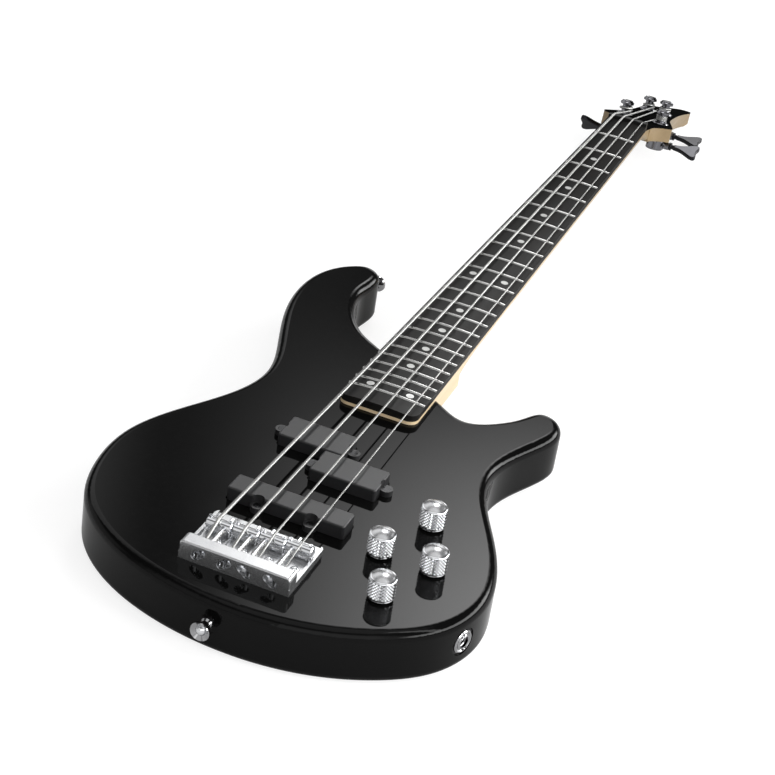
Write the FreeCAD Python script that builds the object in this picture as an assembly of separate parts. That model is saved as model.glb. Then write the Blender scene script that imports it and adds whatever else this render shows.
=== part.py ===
import FreeCAD, Part
import math
import os

# A four-string electric bass guitar, lying on its back, in millimetres.
# +X points to the treble side, +Y to the headstock, +Z up from the body's flat back.
# The origin is on the back of the body, under the nominal bridge line at y = 0.

V = FreeCAD.Vector
X_AXIS = V(1, 0, 0)
Y_AXIS = V(0, 1, 0)
Z_AXIS = V(0, 0, 1)

# Scale, strings
SCALE = 863.6
FRET_COUNT = 24
STRING_NAMES = ["e", "a", "d", "g"]
STRING_DIAMETERS = [2.67, 2.16, 1.65, 1.14]
BRIDGE_SPACING = 19.0
NUT_SPACING = 10.13
STRING_RISE_AT_NUT = 1.8
BALL_RADIUS = 2.0
BALL_LENGTH = 4.6

# Body
BODY_T = 40.0
BODY_TOP_EDGE_R = 7.0
BODY_BACK_EDGE_R = 5.0
TREBLE_OUTLINE = [
    (17, -78.4), (65.3, -70.8), (108.4, -51.1), (140.2, -22.2), (154.6, 19), (149.6, 57.6), (131.5, 100.5),
    (112.4, 139.2), (105.5, 170), (110.7, 200.8), (125.6, 237), (129.4, 256.5), (119.1, 274.5), (108, 276.4),
    (95.4, 260.5), (82, 243), (61, 230.6), (39.6, 241),
]
BASS_OUTLINE = [
    (0, 268), (-34, 293), (-58, 310), (-77, 338), (-85.5, 374), (-83, 397), (-87, 412), (-99, 418.4),
    (-114, 411.2), (-130, 386.5), (-134.7, 352), (-124.2, 296), (-109, 254), (-97.9, 205), (-102.7, 176),
    (-125.4, 127.3), (-146, 74.2), (-144.7, 25.4), (-129.3, -15.6), (-97.7, -47.6), (-49.7, -69.9), (-14.8, -77),
]

# Neck and fingerboard
NUT_WIDTH = 40.8
LAST_FRET_WIDTH = 63.4
BOARD_OVERHANG = 20.0
BOARD_T = 6.5
BOARD_RADIUS = 305.0
BOARD_RISE = 9.0
BOARD_CORNER_R = 8.0
NUT_T = 5.0
NUT_RISE = 2.9
POCKET_DEPTH = 16.0
POCKET_CLEARANCE = 0.2
HEEL_LENGTH = 104.0
HEEL_BLEND = 42.0
HEEL_POWER = 5.0
HEEL_INSET = 0.4
SHAFT_POWER = 2.2
SHAFT_DEPTH_HEEL = 17.0
SHAFT_DEPTH_NUT = 14.6
FRET_WIDTH = 2.7
FRET_HEIGHT = 1.1
TANG_WIDTH = 0.6
TANG_DEPTH = 1.6
FRET_INSET = 0.3
DOT_RADIUS = 3.1
DOT_DEPTH = 1.5
SINGLE_DOT_FRETS = [3, 5, 7, 9, 15, 17, 19, 21]
DOUBLE_DOT_FRETS = [12, 24]
DOUBLE_DOT_SHARE = 0.52

# Headstock, in its own plane: x across, s along the face from the nut
HEAD_ANGLE = 13.5
HEAD_T = 14.0
OVERLAY_T = 1.2
HEAD_NECK_S = 20.0
HEAD_NECK_HALF = 20.4
HEAD_POWER = 8.0
SHOULDER = [(24.5, 38), (32, 49)]
TREBLE_LOBE = (36.8, 54)
BASS_LOBE = (-41, 54)
WAIST = [(30.5, 76), (23.5, 102), (21, 130), (20.5, 155)]
TREBLE_TIP = (25.5, 206)
HEAD_END = [(13, 208), (4, 198), (-9, 181)]
BASS_TIP = (-23, 175)
HEAD_CORNER_R = 4.0

# Truss rod
ROD_WIDTH = 6.0
ROD_HEIGHT = 8.0
ROD_DROP = 3.0
ROD_CLEARANCE = 0.1
ROD_HEEL_MARGIN = 45.0
ROD_NUT_RADIUS = 3.5
ROD_NUT_LENGTH = 10.0
ROD_POCKET_HALF = 4.2
ROD_POCKET_LENGTH = 24.0
ROD_COVER_LENGTH = 34.0
ROD_COVER_WIDTH = 21.0
ROD_COVER_T = 1.8
ROD_COVER_START = 1.5
ROD_SCREW_WALL = 1.2

# Tuning machines
POST_PLACES = [(-18.0, 60.0), (-9.0, 132.0), (9.6, 132.0), (21.5, 60.0)]
POST_RADIUS = 4.9
POST_WAIST_R = 4.3
POST_COLLAR_R = 6.4
POST_FLARE_R = 7.3
POST_CAP_R = 6.0
POST_HEIGHT = 15.4
POST_WAIST_FROM = 3.4
POST_WAIST_TO = 10.4
POST_FLARE_STEP = 1.1
POST_RING_T = 2.0
POST_CAP_STEP = 0.7
POST_EDGE = 0.6
POST_SLOT = 3.3
BUSHING_RADIUS = 6.5
BUSHING_FLANGE_R = 8.6
BUSHING_FLANGE_T = 2.0
RUNNING_CLEARANCE = 0.08
WHEEL_RADIUS = 6.0
WHEEL_T = 4.4
WHEEL_TEETH = 20
TOOTH_GAP_R = 0.5
WORM_RADIUS = 2.4
WORM_GAP = 0.3
HOUSING_RADIUS = 9.0
HOUSING_DEPTH = 11.5
HOUSING_WALL = 1.8
WORM_BARREL_R = 5.5
WORM_BARREL_HALF = 8.0
NOSE_RADIUS = 4.4
NOSE_END = 14.0
TUNER_EAR_R = 3.8
TUNER_EAR_T = 2.0
TUNER_EAR_OFFSET = 12.0
KEY_COLLAR_R = 4.2
KEY_COLLAR_GAP = 0.4
KEY_COLLAR_T = 2.2
KEY_PADDLE_START = 19.0
KEY_PADDLE_T = 4.6
KEY_PADDLE_EDGE_R = 1.2
KEY_PADDLE = [(0, 2.8), (5, 3.4), (11, 5.8), (17, 9.4), (21.5, 11.4), (24.8, 11), (26, 8.2), (25.4, 4)]
KEY_PADDLE_TIP = 24.8
KEY_REST_TURN = {"e": 38.0, "a": -10.0, "d": 18.0, "g": 26.0}
WINDING_GAP = 0.5
WINDING_QUARTERS = 5
SLOT_ENTRY = 60.0
STRING_GAP = 0.3

# Bridge
BRIDGE_WIDTH = 81.0
BRIDGE_BACK = -48.0
BRIDGE_FRONT = 10.0
BRIDGE_PLATE_T = 3.0
BRIDGE_LIP_T = 11.6
BRIDGE_LIP_H = 14.3
BRIDGE_CORNER_R = 5.0
BRIDGE_LIP_EDGE_R = 1.0
BRIDGE_LIP_SIDE_R = 3.0
BRIDGE_RAIL_WIDTH = 2.2
BRIDGE_RAIL_H = 5.2
BRIDGE_RIB_WIDTH = 1.2
BRIDGE_RIB_H = 0.9
RECESS_RADIUS = 3.1
RECESS_DEPTH = 5.0
BALL_Z = 5.4
STRING_HOLE_GAP = 0.25
SADDLE_Y = [-11.0, -9.0, -7.2, -5.5]
SADDLE_Z = 8.5
SADDLE_RADIUS = 4.25
SADDLE_LENGTH = 18.6
SADDLE_SEAT = 3.4
SADDLE_SEAT_R = 2.7
SCREW_OFFSET = 4.4
SCREW_RADIUS = 1.25
SCREW_HEAD_R = 2.1
SCREW_HEAD_T = 1.9
SCREW_TIP_PAST_SADDLE = 6.0
GRUB_RADIUS = 1.25
GRUB_OFFSET = 7.4
GRUB_TOP = 14.2
GRUB_FOOT_GAP = 0.2
HEX_SOCKET = 1.3
HEX_SOCKET_DEPTH = 1.6
SPRING_WIRE_R = 0.3
SPRING_RADIUS = 1.9
SPRING_CURLS = 7
BRIDGE_SCREW_R = 1.9
BRIDGE_SCREW_HEAD_R = 3.4
BRIDGE_SCREW_HEAD_H = 2.0
BRIDGE_SCREW_LENGTH = 26.0
BRIDGE_SCREW_Y = -22.0
BRIDGE_SCREW_ASIDE = 4.0

# Pickups
SPLIT_LENGTH = 52.0
SPLIT_DEPTH = 28.8
SPLIT_RISE = 9.0
SPLIT_X = 19.0
SPLIT_Y = 115.2
SPLIT_GAP = 0.6
SINGLE_LENGTH = 89.0
SINGLE_DEPTH = 19.4
SINGLE_RISE = 10.0
SINGLE_Y = 41.2
COVER_SINK = 10.0
COVER_WALL = 1.6
COVER_CORNER_R = 2.0
COVER_EDGE_R = 1.2
EAR_RADIUS = 4.8
EAR_HEIGHT = 4.4
EAR_OUTSET = 3.0
EAR_CORE_GAP = 0.6
SINGLE_EAR_X = 20.0
PICKUP_CAVITY_GAP = 0.8
COIL_BASE_T = 1.6
COIL_GAP = 0.8
COIL_PLATE_T = 1.2
COIL_NECK = 3.0
PICKUP_SCREW_R = 1.5
PICKUP_SCREW_HEAD_R = 2.9
PICKUP_SCREW_HEAD_T = 1.6
PICKUP_SCREW_LENGTH = 22.0

# Controls
KNOB_NAMES = ["volume", "blend", "treble", "bass"]
KNOB_PLACES = [(91, 80.5), (72.5, 30.5), (111, 31.5), (92, -15)]
KNOB_RADIUS = 9.5
KNOB_HEIGHT = 18.0
KNOB_GAP = 1.8
KNOB_CHAMFER = 1.4
KNOB_DOME = 2.2
KNOB_BASE_CHAMFER = 0.6
KNOB_HOLLOW_R = 7.4
KNOB_HOLLOW_DEPTH = 4.0
KNOB_BORE_DEPTH = 12.0
POT_SHAFT_R = 3.0
POT_BUSHING_R = 3.5
POT_BUSHING_RISE = 3.6
POT_RADIUS = 8.5
POT_DEPTH = 9.0
POT_HOLE_GAP = 0.1
POT_NUT_AF = 10.0
POT_NUT_T = 2.0
POT_WASHER_R = 6.0
POT_WASHER_T = 0.6
CAVITY_MARGIN = 17.0
CAVITY_ROOF = 6.0
COVER_LIP = 7.0
COVER_T = 2.0
COVER_GAP = 0.3
BATTERY_SIZE = (26.5, 48.5, 17.5)
BATTERY_TERMINAL_R = 3.0
BATTERY_TERMINAL_H = 2.4
BATTERY_TERMINAL_SPACING = 12.7
BATTERY_PLACE = (92.0, 32.0)
BATTERY_SEAT_GAP = 0.2
BOARD_SIZE = (18.0, 52.0, 1.6)
CHIP_SIZE = (6.0, 10.0, 3.4)
CHIP_SPACING = 14.0
BOARD_SEAT_GAP = 0.2

# Output jack, strap buttons, neck plate and screws
JACK_HEADING = -19.0
JACK_FROM = (110.0, 10.6)
JACK_BORE_R = 3.25
JACK_BARREL_R = 7.0
JACK_BARREL_LENGTH = 24.0
JACK_HOLE_GAP = 0.1
JACK_FLANGE_R = 10.5
JACK_FLANGE_T = 1.8
JACK_NUT_AF = 13.0
JACK_NUT_T = 2.6
JACK_THREAD_R = 4.7
JACK_THREAD_PAST_NUT = 0.6
SEAT_DEPTH = 1.2
STRAP_END_X = -2.0
STRAP_HORN_X = -104.5
STRAP_HORN_HEADING = 75.0
STRAP_HORN_RISE = 2.0
STRAP_BASE_R = 5.2
STRAP_WAIST_R = 3.4
STRAP_RIM_R = 7.0
STRAP_BASE_T = 1.3
STRAP_RIM_T = 1.4
STRAP_RIM_EDGE = 1.0
STRAP_CONE = 2.4
STRAP_LENGTH = 10.5
STRAP_SCREW_R = 2.0
STRAP_SCREW_HEAD_R = 3.6
STRAP_SCREW_LENGTH = 24.0
PLATE_SIZE = 51.0
PLATE_T = 1.8
PLATE_CORNER_R = 5.0
PLATE_SCREW_SPACING = 38.0
PLATE_FROM_HEEL = 26.0
NECK_SCREW_R = 2.4
NECK_SCREW_HEAD_R = 4.6
NECK_SCREW_HEAD_T = 1.7
NECK_SCREW_INTO_HEEL = 11.0
SMALL_SCREW_R = 1.3
SMALL_SCREW_HEAD_R = 2.5
SMALL_SCREW_HEAD_T = 1.4
SMALL_SCREW_LENGTH = 10.0
PILOT_GAP = 0.05

# Levels and places that follow from the sizes above
NECK_TOP = BODY_T + BOARD_RISE - BOARD_T
BOARD_AXIS_Z = BODY_T + BOARD_RISE - BOARD_RADIUS
BOARD_END = SCALE / 2 ** (FRET_COUNT / 12) - BOARD_OVERHANG
POCKET_FLOOR = BODY_T - POCKET_DEPTH
HEAD_Y = SCALE + NUT_T
HEAD = FreeCAD.Placement(V(0, HEAD_Y, NECK_TOP), FreeCAD.Rotation(X_AXIS, -HEAD_ANGLE))
WORM_OFFSET = WHEEL_RADIUS + WORM_RADIUS + WORM_GAP
WORM_H = -HEAD_T - HOUSING_DEPTH / 2
LIP_FRONT = BRIDGE_BACK + BRIDGE_LIP_T
RECESS_FLOOR = BRIDGE_BACK + RECESS_DEPTH
SADDLE_AXIS_Z = BODY_T + SADDLE_Z
CAVITY_TOP = BODY_T - CAVITY_ROOF
COVER_FLOOR = BODY_T - COVER_SINK


# General helpers


def box(x0, x1, y0, y1, z0, z1):
    return Part.makeBox(x1 - x0, y1 - y0, z1 - z0, V(x0, y0, z0))


def rod(start, direction, radius, length):
    return Part.makeCylinder(radius, length, start, direction)


def hexagon(centre, direction, across_flats, length):
    turn = FreeCAD.Rotation(Z_AXIS, direction)
    corner = across_flats / math.sqrt(3)
    points = []
    for k in range(7):
        angle = math.radians(60 * k)
        points.append(centre + turn.multVec(V(corner * math.cos(angle), corner * math.sin(angle), 0)))
    return Part.Face(Part.makePolygon(points)).extrude(V(direction).normalize() * length)


def spline(points):
    curve = Part.BSplineCurve()
    curve.interpolate(points)
    return curve.toShape()


def rounded_plate(x, y, width, depth, radius, z0, z1):
    w = width / 2 - radius
    d = depth / 2 - radius
    corners = [V(x - w, y - d, z0), V(x + w, y - d, z0), V(x + w, y + d, z0), V(x - w, y + d, z0)]
    wire = Part.makePolygon(corners + corners[:1]).makeOffset2D(radius)
    return Part.Face(wire).extrude(V(0, 0, z1 - z0))


def revolved(profile, base, direction):
    points = [V(r, 0, h) for r, h in profile]
    solid = Part.Face(Part.makePolygon(points + points[:1])).revolve(V(0, 0, 0), Z_AXIS, 360)
    solid.Placement = FreeCAD.Placement(base, FreeCAD.Rotation(Z_AXIS, direction))
    return solid


def dome_arc(rim, top, rise):
    # From the rim to the axis at the top, on a ball whose centre lies on the axis
    ball = (rim * rim + rise * rise) / (2 * abs(rise))
    half = math.asin(rim / ball) / 2
    fall = math.copysign(ball * (1 - math.cos(half)), rise)
    middle = V(ball * math.sin(half), 0, top - fall)
    return Part.Arc(V(rim, 0, top - rise), middle, V(0, 0, top)).toShape()


def edges_at(shape, z):
    return [e for e in shape.Edges if all(abs(v.Z - z) < 1e-6 for v in e.Vertexes)]


def upright_edges_at(shape, places):
    found = []
    for edge in shape.Edges:
        a = edge.Vertexes[0].Point
        b = edge.Vertexes[-1].Point
        flat = math.hypot(a.x - b.x, a.y - b.y)
        if flat < 1e-6 and any(math.hypot(a.x - x, a.y - y) < 1e-3 for x, y in places):
            found.append(edge)
    return found


def moved(x, y, z):
    return FreeCAD.Placement(V(x, y, z), FreeCAD.Rotation())


def on_head(shape):
    tilted = shape.copy()
    tilted.Placement = HEAD.multiply(tilted.Placement)
    return tilted


def save(name, *shapes):
    solids = []
    for shape in shapes:
        solids.extend(shape.Solids)
    whole = solids[0] if len(solids) == 1 else Part.makeCompound(solids)
    whole.exportStep("parts/" + name + ".step")


# Tube paths of straight runs and tangent arcs


def line(start, end):
    return Part.LineSegment(start, end).toShape()


def corner_arc(start, corner, end):
    middle = (start + end) * 0.5
    half_chord = (end - start).Length / 2
    cosine = half_chord / (corner - start).Length
    if cosine > 0.9999999:
        return line(start, end)
    on_arc = middle + (corner - middle) * (cosine / (1 + cosine))
    return Part.Arc(start, on_arc, end).toShape()


def rounded_corner(before, corner, after, radius):
    d1 = (corner - before).normalize()
    d2 = (after - corner).normalize()
    reach = radius * math.tan(d1.getAngle(d2) / 2)
    return corner - d1 * reach, corner + d2 * reach


def biarc(p1, t1, p2, t2):
    v = p2 - p1
    t = t1 + t2
    bend = 2 * (1 - t1.dot(t2))
    along = v.dot(t)
    if bend < 1e-9:
        d = v.dot(v) / (2 * along)
    else:
        d = (math.sqrt(along * along + bend * v.dot(v)) - along) / bend
    q1 = p1 + t1 * d
    q2 = p2 - t2 * d
    joint = (q1 + q2) * 0.5
    return [corner_arc(p1, q1, joint), corner_arc(joint, q2, p2)]


def biarcs(nodes):
    edges = []
    for (p1, t1), (p2, t2) in zip(nodes, nodes[1:]):
        edges.extend(biarc(p1, t1, p2, t2))
    return edges


def tube(edges, radius):
    path = Part.Wire(edges)
    start = edges[0].valueAt(edges[0].FirstParameter)
    heading = edges[0].tangentAt(edges[0].FirstParameter)
    ring = Part.Wire(Part.makeCircle(radius, start, heading))
    return path.makePipeShell([ring], True, False)


def self_gap(edges, radius, apart):
    # Least clear distance between stretches of the tube that lie at least the given length apart
    points = []
    run = 0.0
    for edge in edges:
        steps = max(4, int(edge.Length / radius))
        for point in edge.discretize(steps + 1)[:-1]:
            points.append((run, point))
            run += edge.Length / steps
    least = 1e9
    for i, (run_a, a) in enumerate(points):
        for run_b, b in points[i + 1:]:
            if run_b - run_a >= apart:
                least = min(least, (a - b).Length)
    return least - 2 * radius


def report_tube(name, edges, radius, solid, gap_edges, apart):
    length = sum(e.Length for e in edges)
    share = solid.Volume / (math.pi * radius * radius * length)
    gap = self_gap(gap_edges, radius, apart)
    print(name, "length", round(length, 1), "volume share", round(share, 4), "self gap", round(gap, 2))


# Places shared by several pieces


def fret_y(number):
    return SCALE / 2 ** (number / 12)


def neck_half(y):
    grow = (SCALE - y) / (SCALE - fret_y(FRET_COUNT))
    return (NUT_WIDTH + (LAST_FRET_WIDTH - NUT_WIDTH) * grow) / 2


def board_surface(x):
    return BOARD_AXIS_Z + math.sqrt(BOARD_RADIUS ** 2 - x * x)


def string_x(i, spacing):
    return (i - 1.5) * spacing


def centre_side(i):
    return 1 if i < 2 else -1


def screw_x(i):
    return string_x(i, BRIDGE_SPACING) + centre_side(i) * SCREW_OFFSET


def recess(i):
    # A slanted oval in the lip's rear face that holds the ball end and the screw's head
    low = V(string_x(i, BRIDGE_SPACING), BRIDGE_BACK, BODY_T + BALL_Z)
    high = V(screw_x(i), BRIDGE_BACK, SADDLE_AXIS_Z)
    along = (high - low).normalize() * RECESS_RADIUS
    aside = along.cross(Y_AXIS)
    ends = [Part.Arc(low - aside, low - along, low + aside).toShape(),
            Part.Arc(high + aside, high + along, high - aside).toShape()]
    sides = [line(low + aside, high + aside), line(high - aside, low - aside)]
    outline = Part.Wire([ends[0], sides[0], ends[1], sides[1]])
    return Part.Face(outline).extrude(V(0, RECESS_DEPTH, 0))


def bridge_screw_places():
    return [(string_x(i, BRIDGE_SPACING) + BRIDGE_SCREW_ASIDE, BRIDGE_SCREW_Y) for i in range(4)]


def post_place(i):
    x, s = POST_PLACES[i]
    return V(x, s, 0)


def plate_screw_places():
    y = BOARD_END + PLATE_FROM_HEEL
    half = PLATE_SCREW_SPACING / 2
    return [(-half, y - half), (half, y - half), (half, y + half), (-half, y + half)]


def cover_screw_places():
    cx = sum(x for x, y in KNOB_PLACES) / len(KNOB_PLACES)
    cy = sum(y for x, y in KNOB_PLACES) / len(KNOB_PLACES)
    places = []
    for x, y in KNOB_PLACES:
        away = V(x - cx, y - cy, 0).normalize() * (CAVITY_MARGIN + COVER_LIP / 2)
        places.append((x + away.x, y + away.y))
    return places


def rod_cover_screw_places():
    inset = ROD_COVER_T + SMALL_SCREW_HEAD_R
    aside = ROD_POCKET_HALF + SMALL_SCREW_R + ROD_SCREW_WALL
    near = ROD_COVER_START + inset
    return [(-aside, near), (aside, near), (0, ROD_COVER_START + ROD_COVER_LENGTH - inset)]


def body_outline():
    curve = Part.BSplineCurve()
    curve.interpolate([V(x, y, 0) for x, y in TREBLE_OUTLINE + BASS_OUTLINE], True)
    return Part.Wire(curve.toShape())


def rim_point(origin, direction):
    # Where a level ray from inside the body meets its rim, at half the body's thickness
    start = V(origin[0], origin[1], 0)
    reach = Part.LineSegment(start, start + direction * SCALE).toShape()
    meeting = reach.distToShape(body_outline())[1][0][0]
    return V(meeting.x, meeting.y, BODY_T / 2)


def jack_direction():
    angle = math.radians(JACK_HEADING)
    return V(math.cos(angle), math.sin(angle), 0)


def jack_seat():
    return rim_point(JACK_FROM, jack_direction()) - jack_direction() * SEAT_DEPTH


def strap_seats():
    end = rim_point((STRAP_END_X, 0), -Y_AXIS) + Y_AXIS * SEAT_DEPTH / 4
    heading = math.radians(STRAP_HORN_HEADING)
    out = V(math.cos(heading), math.sin(heading), 0)
    horn = rim_point((STRAP_HORN_X, BASS_OUTLINE[4][1]), out) - out * SEAT_DEPTH
    return [(end, -Y_AXIS), (horn + Z_AXIS * STRAP_HORN_RISE, out)]


def control_wire(margin, z):
    points = [V(KNOB_PLACES[k][0], KNOB_PLACES[k][1], z) for k in (0, 2, 3, 1)]
    return Part.makePolygon(points + points[:1]).makeOffset2D(margin)


def split_centres():
    step = (SPLIT_DEPTH + SPLIT_GAP) / 2
    return [(-SPLIT_X, SPLIT_Y + step), (SPLIT_X, SPLIT_Y - step)]


def split_ears(x, y):
    reach = SPLIT_LENGTH / 2 + EAR_OUTSET
    return [(x - reach, y), (x + reach, y)]


def single_ears():
    y = SINGLE_Y - SINGLE_DEPTH / 2 - EAR_OUTSET / 2
    return [(-SINGLE_EAR_X, y), (SINGLE_EAR_X, y)]


def ear_places():
    places = single_ears()
    for x, y in split_centres():
        places.extend(split_ears(x, y))
    return places


# Body and its hardware


def pickup_cavities():
    floor = COVER_FLOOR - COIL_BASE_T
    grow = 2 * PICKUP_CAVITY_GAP
    radius = COVER_CORNER_R + PICKUP_CAVITY_GAP
    cuts = []
    for x, y in split_centres():
        cuts.append(rounded_plate(x, y, SPLIT_LENGTH + grow, SPLIT_DEPTH + grow, radius, floor, BODY_T + 1))
    single = rounded_plate(0, SINGLE_Y, SINGLE_LENGTH + grow, SINGLE_DEPTH + grow, radius, floor, BODY_T + 1)
    return cuts + [single]


def wire_channels():
    z = COVER_FLOOR + NOSE_RADIUS
    to_controls = KNOB_PLACES[1][0] - CAVITY_MARGIN / 2
    across = rod(V(0, SINGLE_Y, z), X_AXIS, NOSE_RADIUS, to_controls)
    along = rod(V(SPLIT_X, SINGLE_Y, z), Y_AXIS, NOSE_RADIUS, SPLIT_Y - SPLIT_DEPTH / 2 - SINGLE_Y)
    return [across, along]


def pilot(place, direction, radius, length):
    return rod(place, direction, radius + PILOT_GAP, length + PILOT_GAP)


def body_cuts():
    cuts = pickup_cavities() + wire_channels()
    cuts.append(heel_block(POCKET_CLEARANCE, POCKET_FLOOR, BODY_T + 1))
    cuts.append(Part.Face(control_wire(CAVITY_MARGIN, 0)).extrude(V(0, 0, CAVITY_TOP)))
    cuts.append(Part.Face(control_wire(CAVITY_MARGIN + COVER_LIP, 0)).extrude(V(0, 0, COVER_T)))
    for x, y in KNOB_PLACES:
        cuts.append(rod(V(x, y, CAVITY_TOP - 1), Z_AXIS, POT_BUSHING_R + POT_HOLE_GAP, CAVITY_ROOF + 2))
    inward = -jack_direction()
    cuts.append(rod(jack_seat(), inward, JACK_BARREL_R + JACK_HOLE_GAP, JACK_BARREL_LENGTH + JACK_BARREL_R))
    cuts.append(rod(jack_seat(), -inward, JACK_FLANGE_R + JACK_HOLE_GAP, JACK_BARREL_LENGTH))
    for seat, outward in strap_seats():
        cuts.append(rod(seat, outward, STRAP_RIM_R, STRAP_LENGTH))
        cuts.append(pilot(seat, -outward, STRAP_SCREW_R, STRAP_SCREW_LENGTH - STRAP_LENGTH))
    for x, y in bridge_screw_places():
        cuts.append(pilot(V(x, y, BODY_T), -Z_AXIS, BRIDGE_SCREW_R, BRIDGE_SCREW_LENGTH - BRIDGE_PLATE_T))
    for x, y in ear_places():
        depth = PICKUP_SCREW_LENGTH - EAR_HEIGHT
        cuts.append(pilot(V(x, y, BODY_T), -Z_AXIS, PICKUP_SCREW_R, depth))
    for x, y in plate_screw_places():
        cuts.append(rod(V(x, y, -1), Z_AXIS, NECK_SCREW_R + PILOT_GAP, POCKET_FLOOR + 2))
    for x, y in cover_screw_places():
        cuts.append(pilot(V(x, y, COVER_T), Z_AXIS, SMALL_SCREW_R, SMALL_SCREW_LENGTH - COVER_T))
    return cuts


def make_body():
    slab = Part.Face(body_outline()).extrude(V(0, 0, BODY_T))
    slab = slab.makeFillet(BODY_TOP_EDGE_R, edges_at(slab, BODY_T))
    slab = slab.makeFillet(BODY_BACK_EDGE_R, edges_at(slab, 0))
    save("body", slab.cut(body_cuts()))


def make_control_cover():
    plate = Part.Face(control_wire(CAVITY_MARGIN + COVER_LIP - COVER_GAP, 0)).extrude(V(0, 0, COVER_T))
    holes = [rod(V(x, y, 0), Z_AXIS, SMALL_SCREW_R + PILOT_GAP, COVER_T) for x, y in cover_screw_places()]
    sinks = [small_screw(V(x, y, 0), Z_AXIS) for x, y in cover_screw_places()]
    save("control_cover", plate.cut(holes + sinks))


def countersunk(place, direction, radius, head_radius, head_t, length):
    # A screw whose flat head is flush with the given place and whose point runs along the direction
    profile = [(0, 0), (head_radius, 0), (head_radius, head_t * 0.25), (radius, head_t),
               (radius, length - radius * 2), (0, length)]
    return revolved(profile, place, direction)


def small_screw(place, direction):
    return countersunk(place, direction, SMALL_SCREW_R, SMALL_SCREW_HEAD_R, SMALL_SCREW_HEAD_T,
                       SMALL_SCREW_LENGTH)


def domed_screw(place, direction, radius, head_radius, head_h, length):
    # The underside of the domed head is at the place, and the shank runs along the direction
    rest = Part.makePolygon([V(0, 0, -head_h), V(0, 0, length), V(radius, 0, length - radius),
                             V(radius, 0, 0), V(head_radius, 0, 0)])
    dome = dome_arc(head_radius, -head_h, -head_h)
    solid = Part.Face(Part.Wire(rest.Edges + [dome])).revolve(V(0, 0, 0), Z_AXIS, 360)
    solid.Placement = FreeCAD.Placement(place, FreeCAD.Rotation(Z_AXIS, direction))
    return solid


def make_small_screws():
    screws = [small_screw(V(x, y, 0), Z_AXIS) for x, y in cover_screw_places()]
    for x, s in rod_cover_screw_places():
        screws.append(on_head(small_screw(V(x, s, OVERLAY_T + ROD_COVER_T), -Z_AXIS)))
    for i in range(4):
        ear = post_place(i) + V(0, -TUNER_EAR_OFFSET, -HEAD_T - TUNER_EAR_T)
        screws.append(on_head(small_screw(ear, Z_AXIS)))
    save("small_screws", *screws)


def make_neck_plate():
    y = BOARD_END + PLATE_FROM_HEEL
    plate = rounded_plate(0, y, PLATE_SIZE, PLATE_SIZE, PLATE_CORNER_R, -PLATE_T, 0)
    save("neck_plate", plate.cut(neck_screws()))
    save("neck_screws", *neck_screws())


def neck_screws():
    length = PLATE_T + POCKET_FLOOR + NECK_SCREW_INTO_HEEL
    return [countersunk(V(x, y, -PLATE_T), Z_AXIS, NECK_SCREW_R, NECK_SCREW_HEAD_R, NECK_SCREW_HEAD_T, length)
            for x, y in plate_screw_places()]


def make_strap_buttons():
    buttons = []
    screws = []
    head_seat = STRAP_LENGTH - STRAP_SCREW_HEAD_R / 2
    rim_top = STRAP_LENGTH - STRAP_RIM_EDGE
    rim_foot = rim_top - STRAP_RIM_T
    profile = [(0, 0), (STRAP_BASE_R, 0), (STRAP_BASE_R, STRAP_BASE_T), (STRAP_WAIST_R, 2 * STRAP_BASE_T),
               (STRAP_WAIST_R, rim_foot - STRAP_CONE), (STRAP_RIM_R, rim_foot), (STRAP_RIM_R, rim_top),
               (STRAP_RIM_R - STRAP_RIM_EDGE, STRAP_LENGTH), (0, STRAP_LENGTH)]
    for seat, outward in strap_seats():
        button = revolved(profile, seat, outward)
        hole = rod(seat, outward, STRAP_SCREW_R + PILOT_GAP, STRAP_LENGTH)
        sink = rod(seat + outward * head_seat, outward, STRAP_SCREW_HEAD_R + PILOT_GAP, STRAP_LENGTH)
        buttons.append(button.cut([hole, sink]))
        screws.append(domed_screw(seat + outward * head_seat, -outward, STRAP_SCREW_R, STRAP_SCREW_HEAD_R,
                                  STRAP_SCREW_HEAD_R * 0.6, STRAP_SCREW_LENGTH - STRAP_SCREW_HEAD_R / 2))
    save("strap_buttons", *buttons)
    save("strap_button_screws", *screws)


def make_jack():
    out = jack_direction()
    seat = jack_seat()
    inner = seat - out * JACK_BARREL_LENGTH
    thread_end = JACK_FLANGE_T + JACK_NUT_T + JACK_THREAD_PAST_NUT
    barrel = rod(inner, out, JACK_BARREL_R, JACK_BARREL_LENGTH)
    flange = rod(seat, out, JACK_FLANGE_R, JACK_FLANGE_T)
    flange = flange.makeChamfer(JACK_FLANGE_T * 0.45, [flange.Edges[0]])
    thread = rod(seat, out, JACK_THREAD_R, thread_end)
    bore = rod(inner + out * 3, out, JACK_BORE_R, JACK_BARREL_LENGTH + thread_end)
    save("output_jack", barrel.fuse([flange, thread]).cut(bore))
    nut = hexagon(seat + out * JACK_FLANGE_T, out, JACK_NUT_AF, JACK_NUT_T)
    save("jack_nut", nut.cut(rod(seat, out, JACK_THREAD_R + PILOT_GAP, thread_end)))


# Neck, headstock, fingerboard


def heel_block(grow, z0, z1):
    y0 = BOARD_END - grow
    y1 = BOARD_END + HEEL_LENGTH
    h0 = neck_half(y0) + grow
    h1 = neck_half(y1) + grow
    corners = [V(-h0, y0, z0), V(h0, y0, z0), V(h1, y1, z0), V(-h1, y1, z0)]
    block = Part.Face(Part.makePolygon(corners + corners[:1])).extrude(V(0, 0, z1 - z0))
    return block.makeFillet(BOARD_CORNER_R + grow, upright_edges_at(block, [(-h0, y0), (h0, y0)]))


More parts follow.
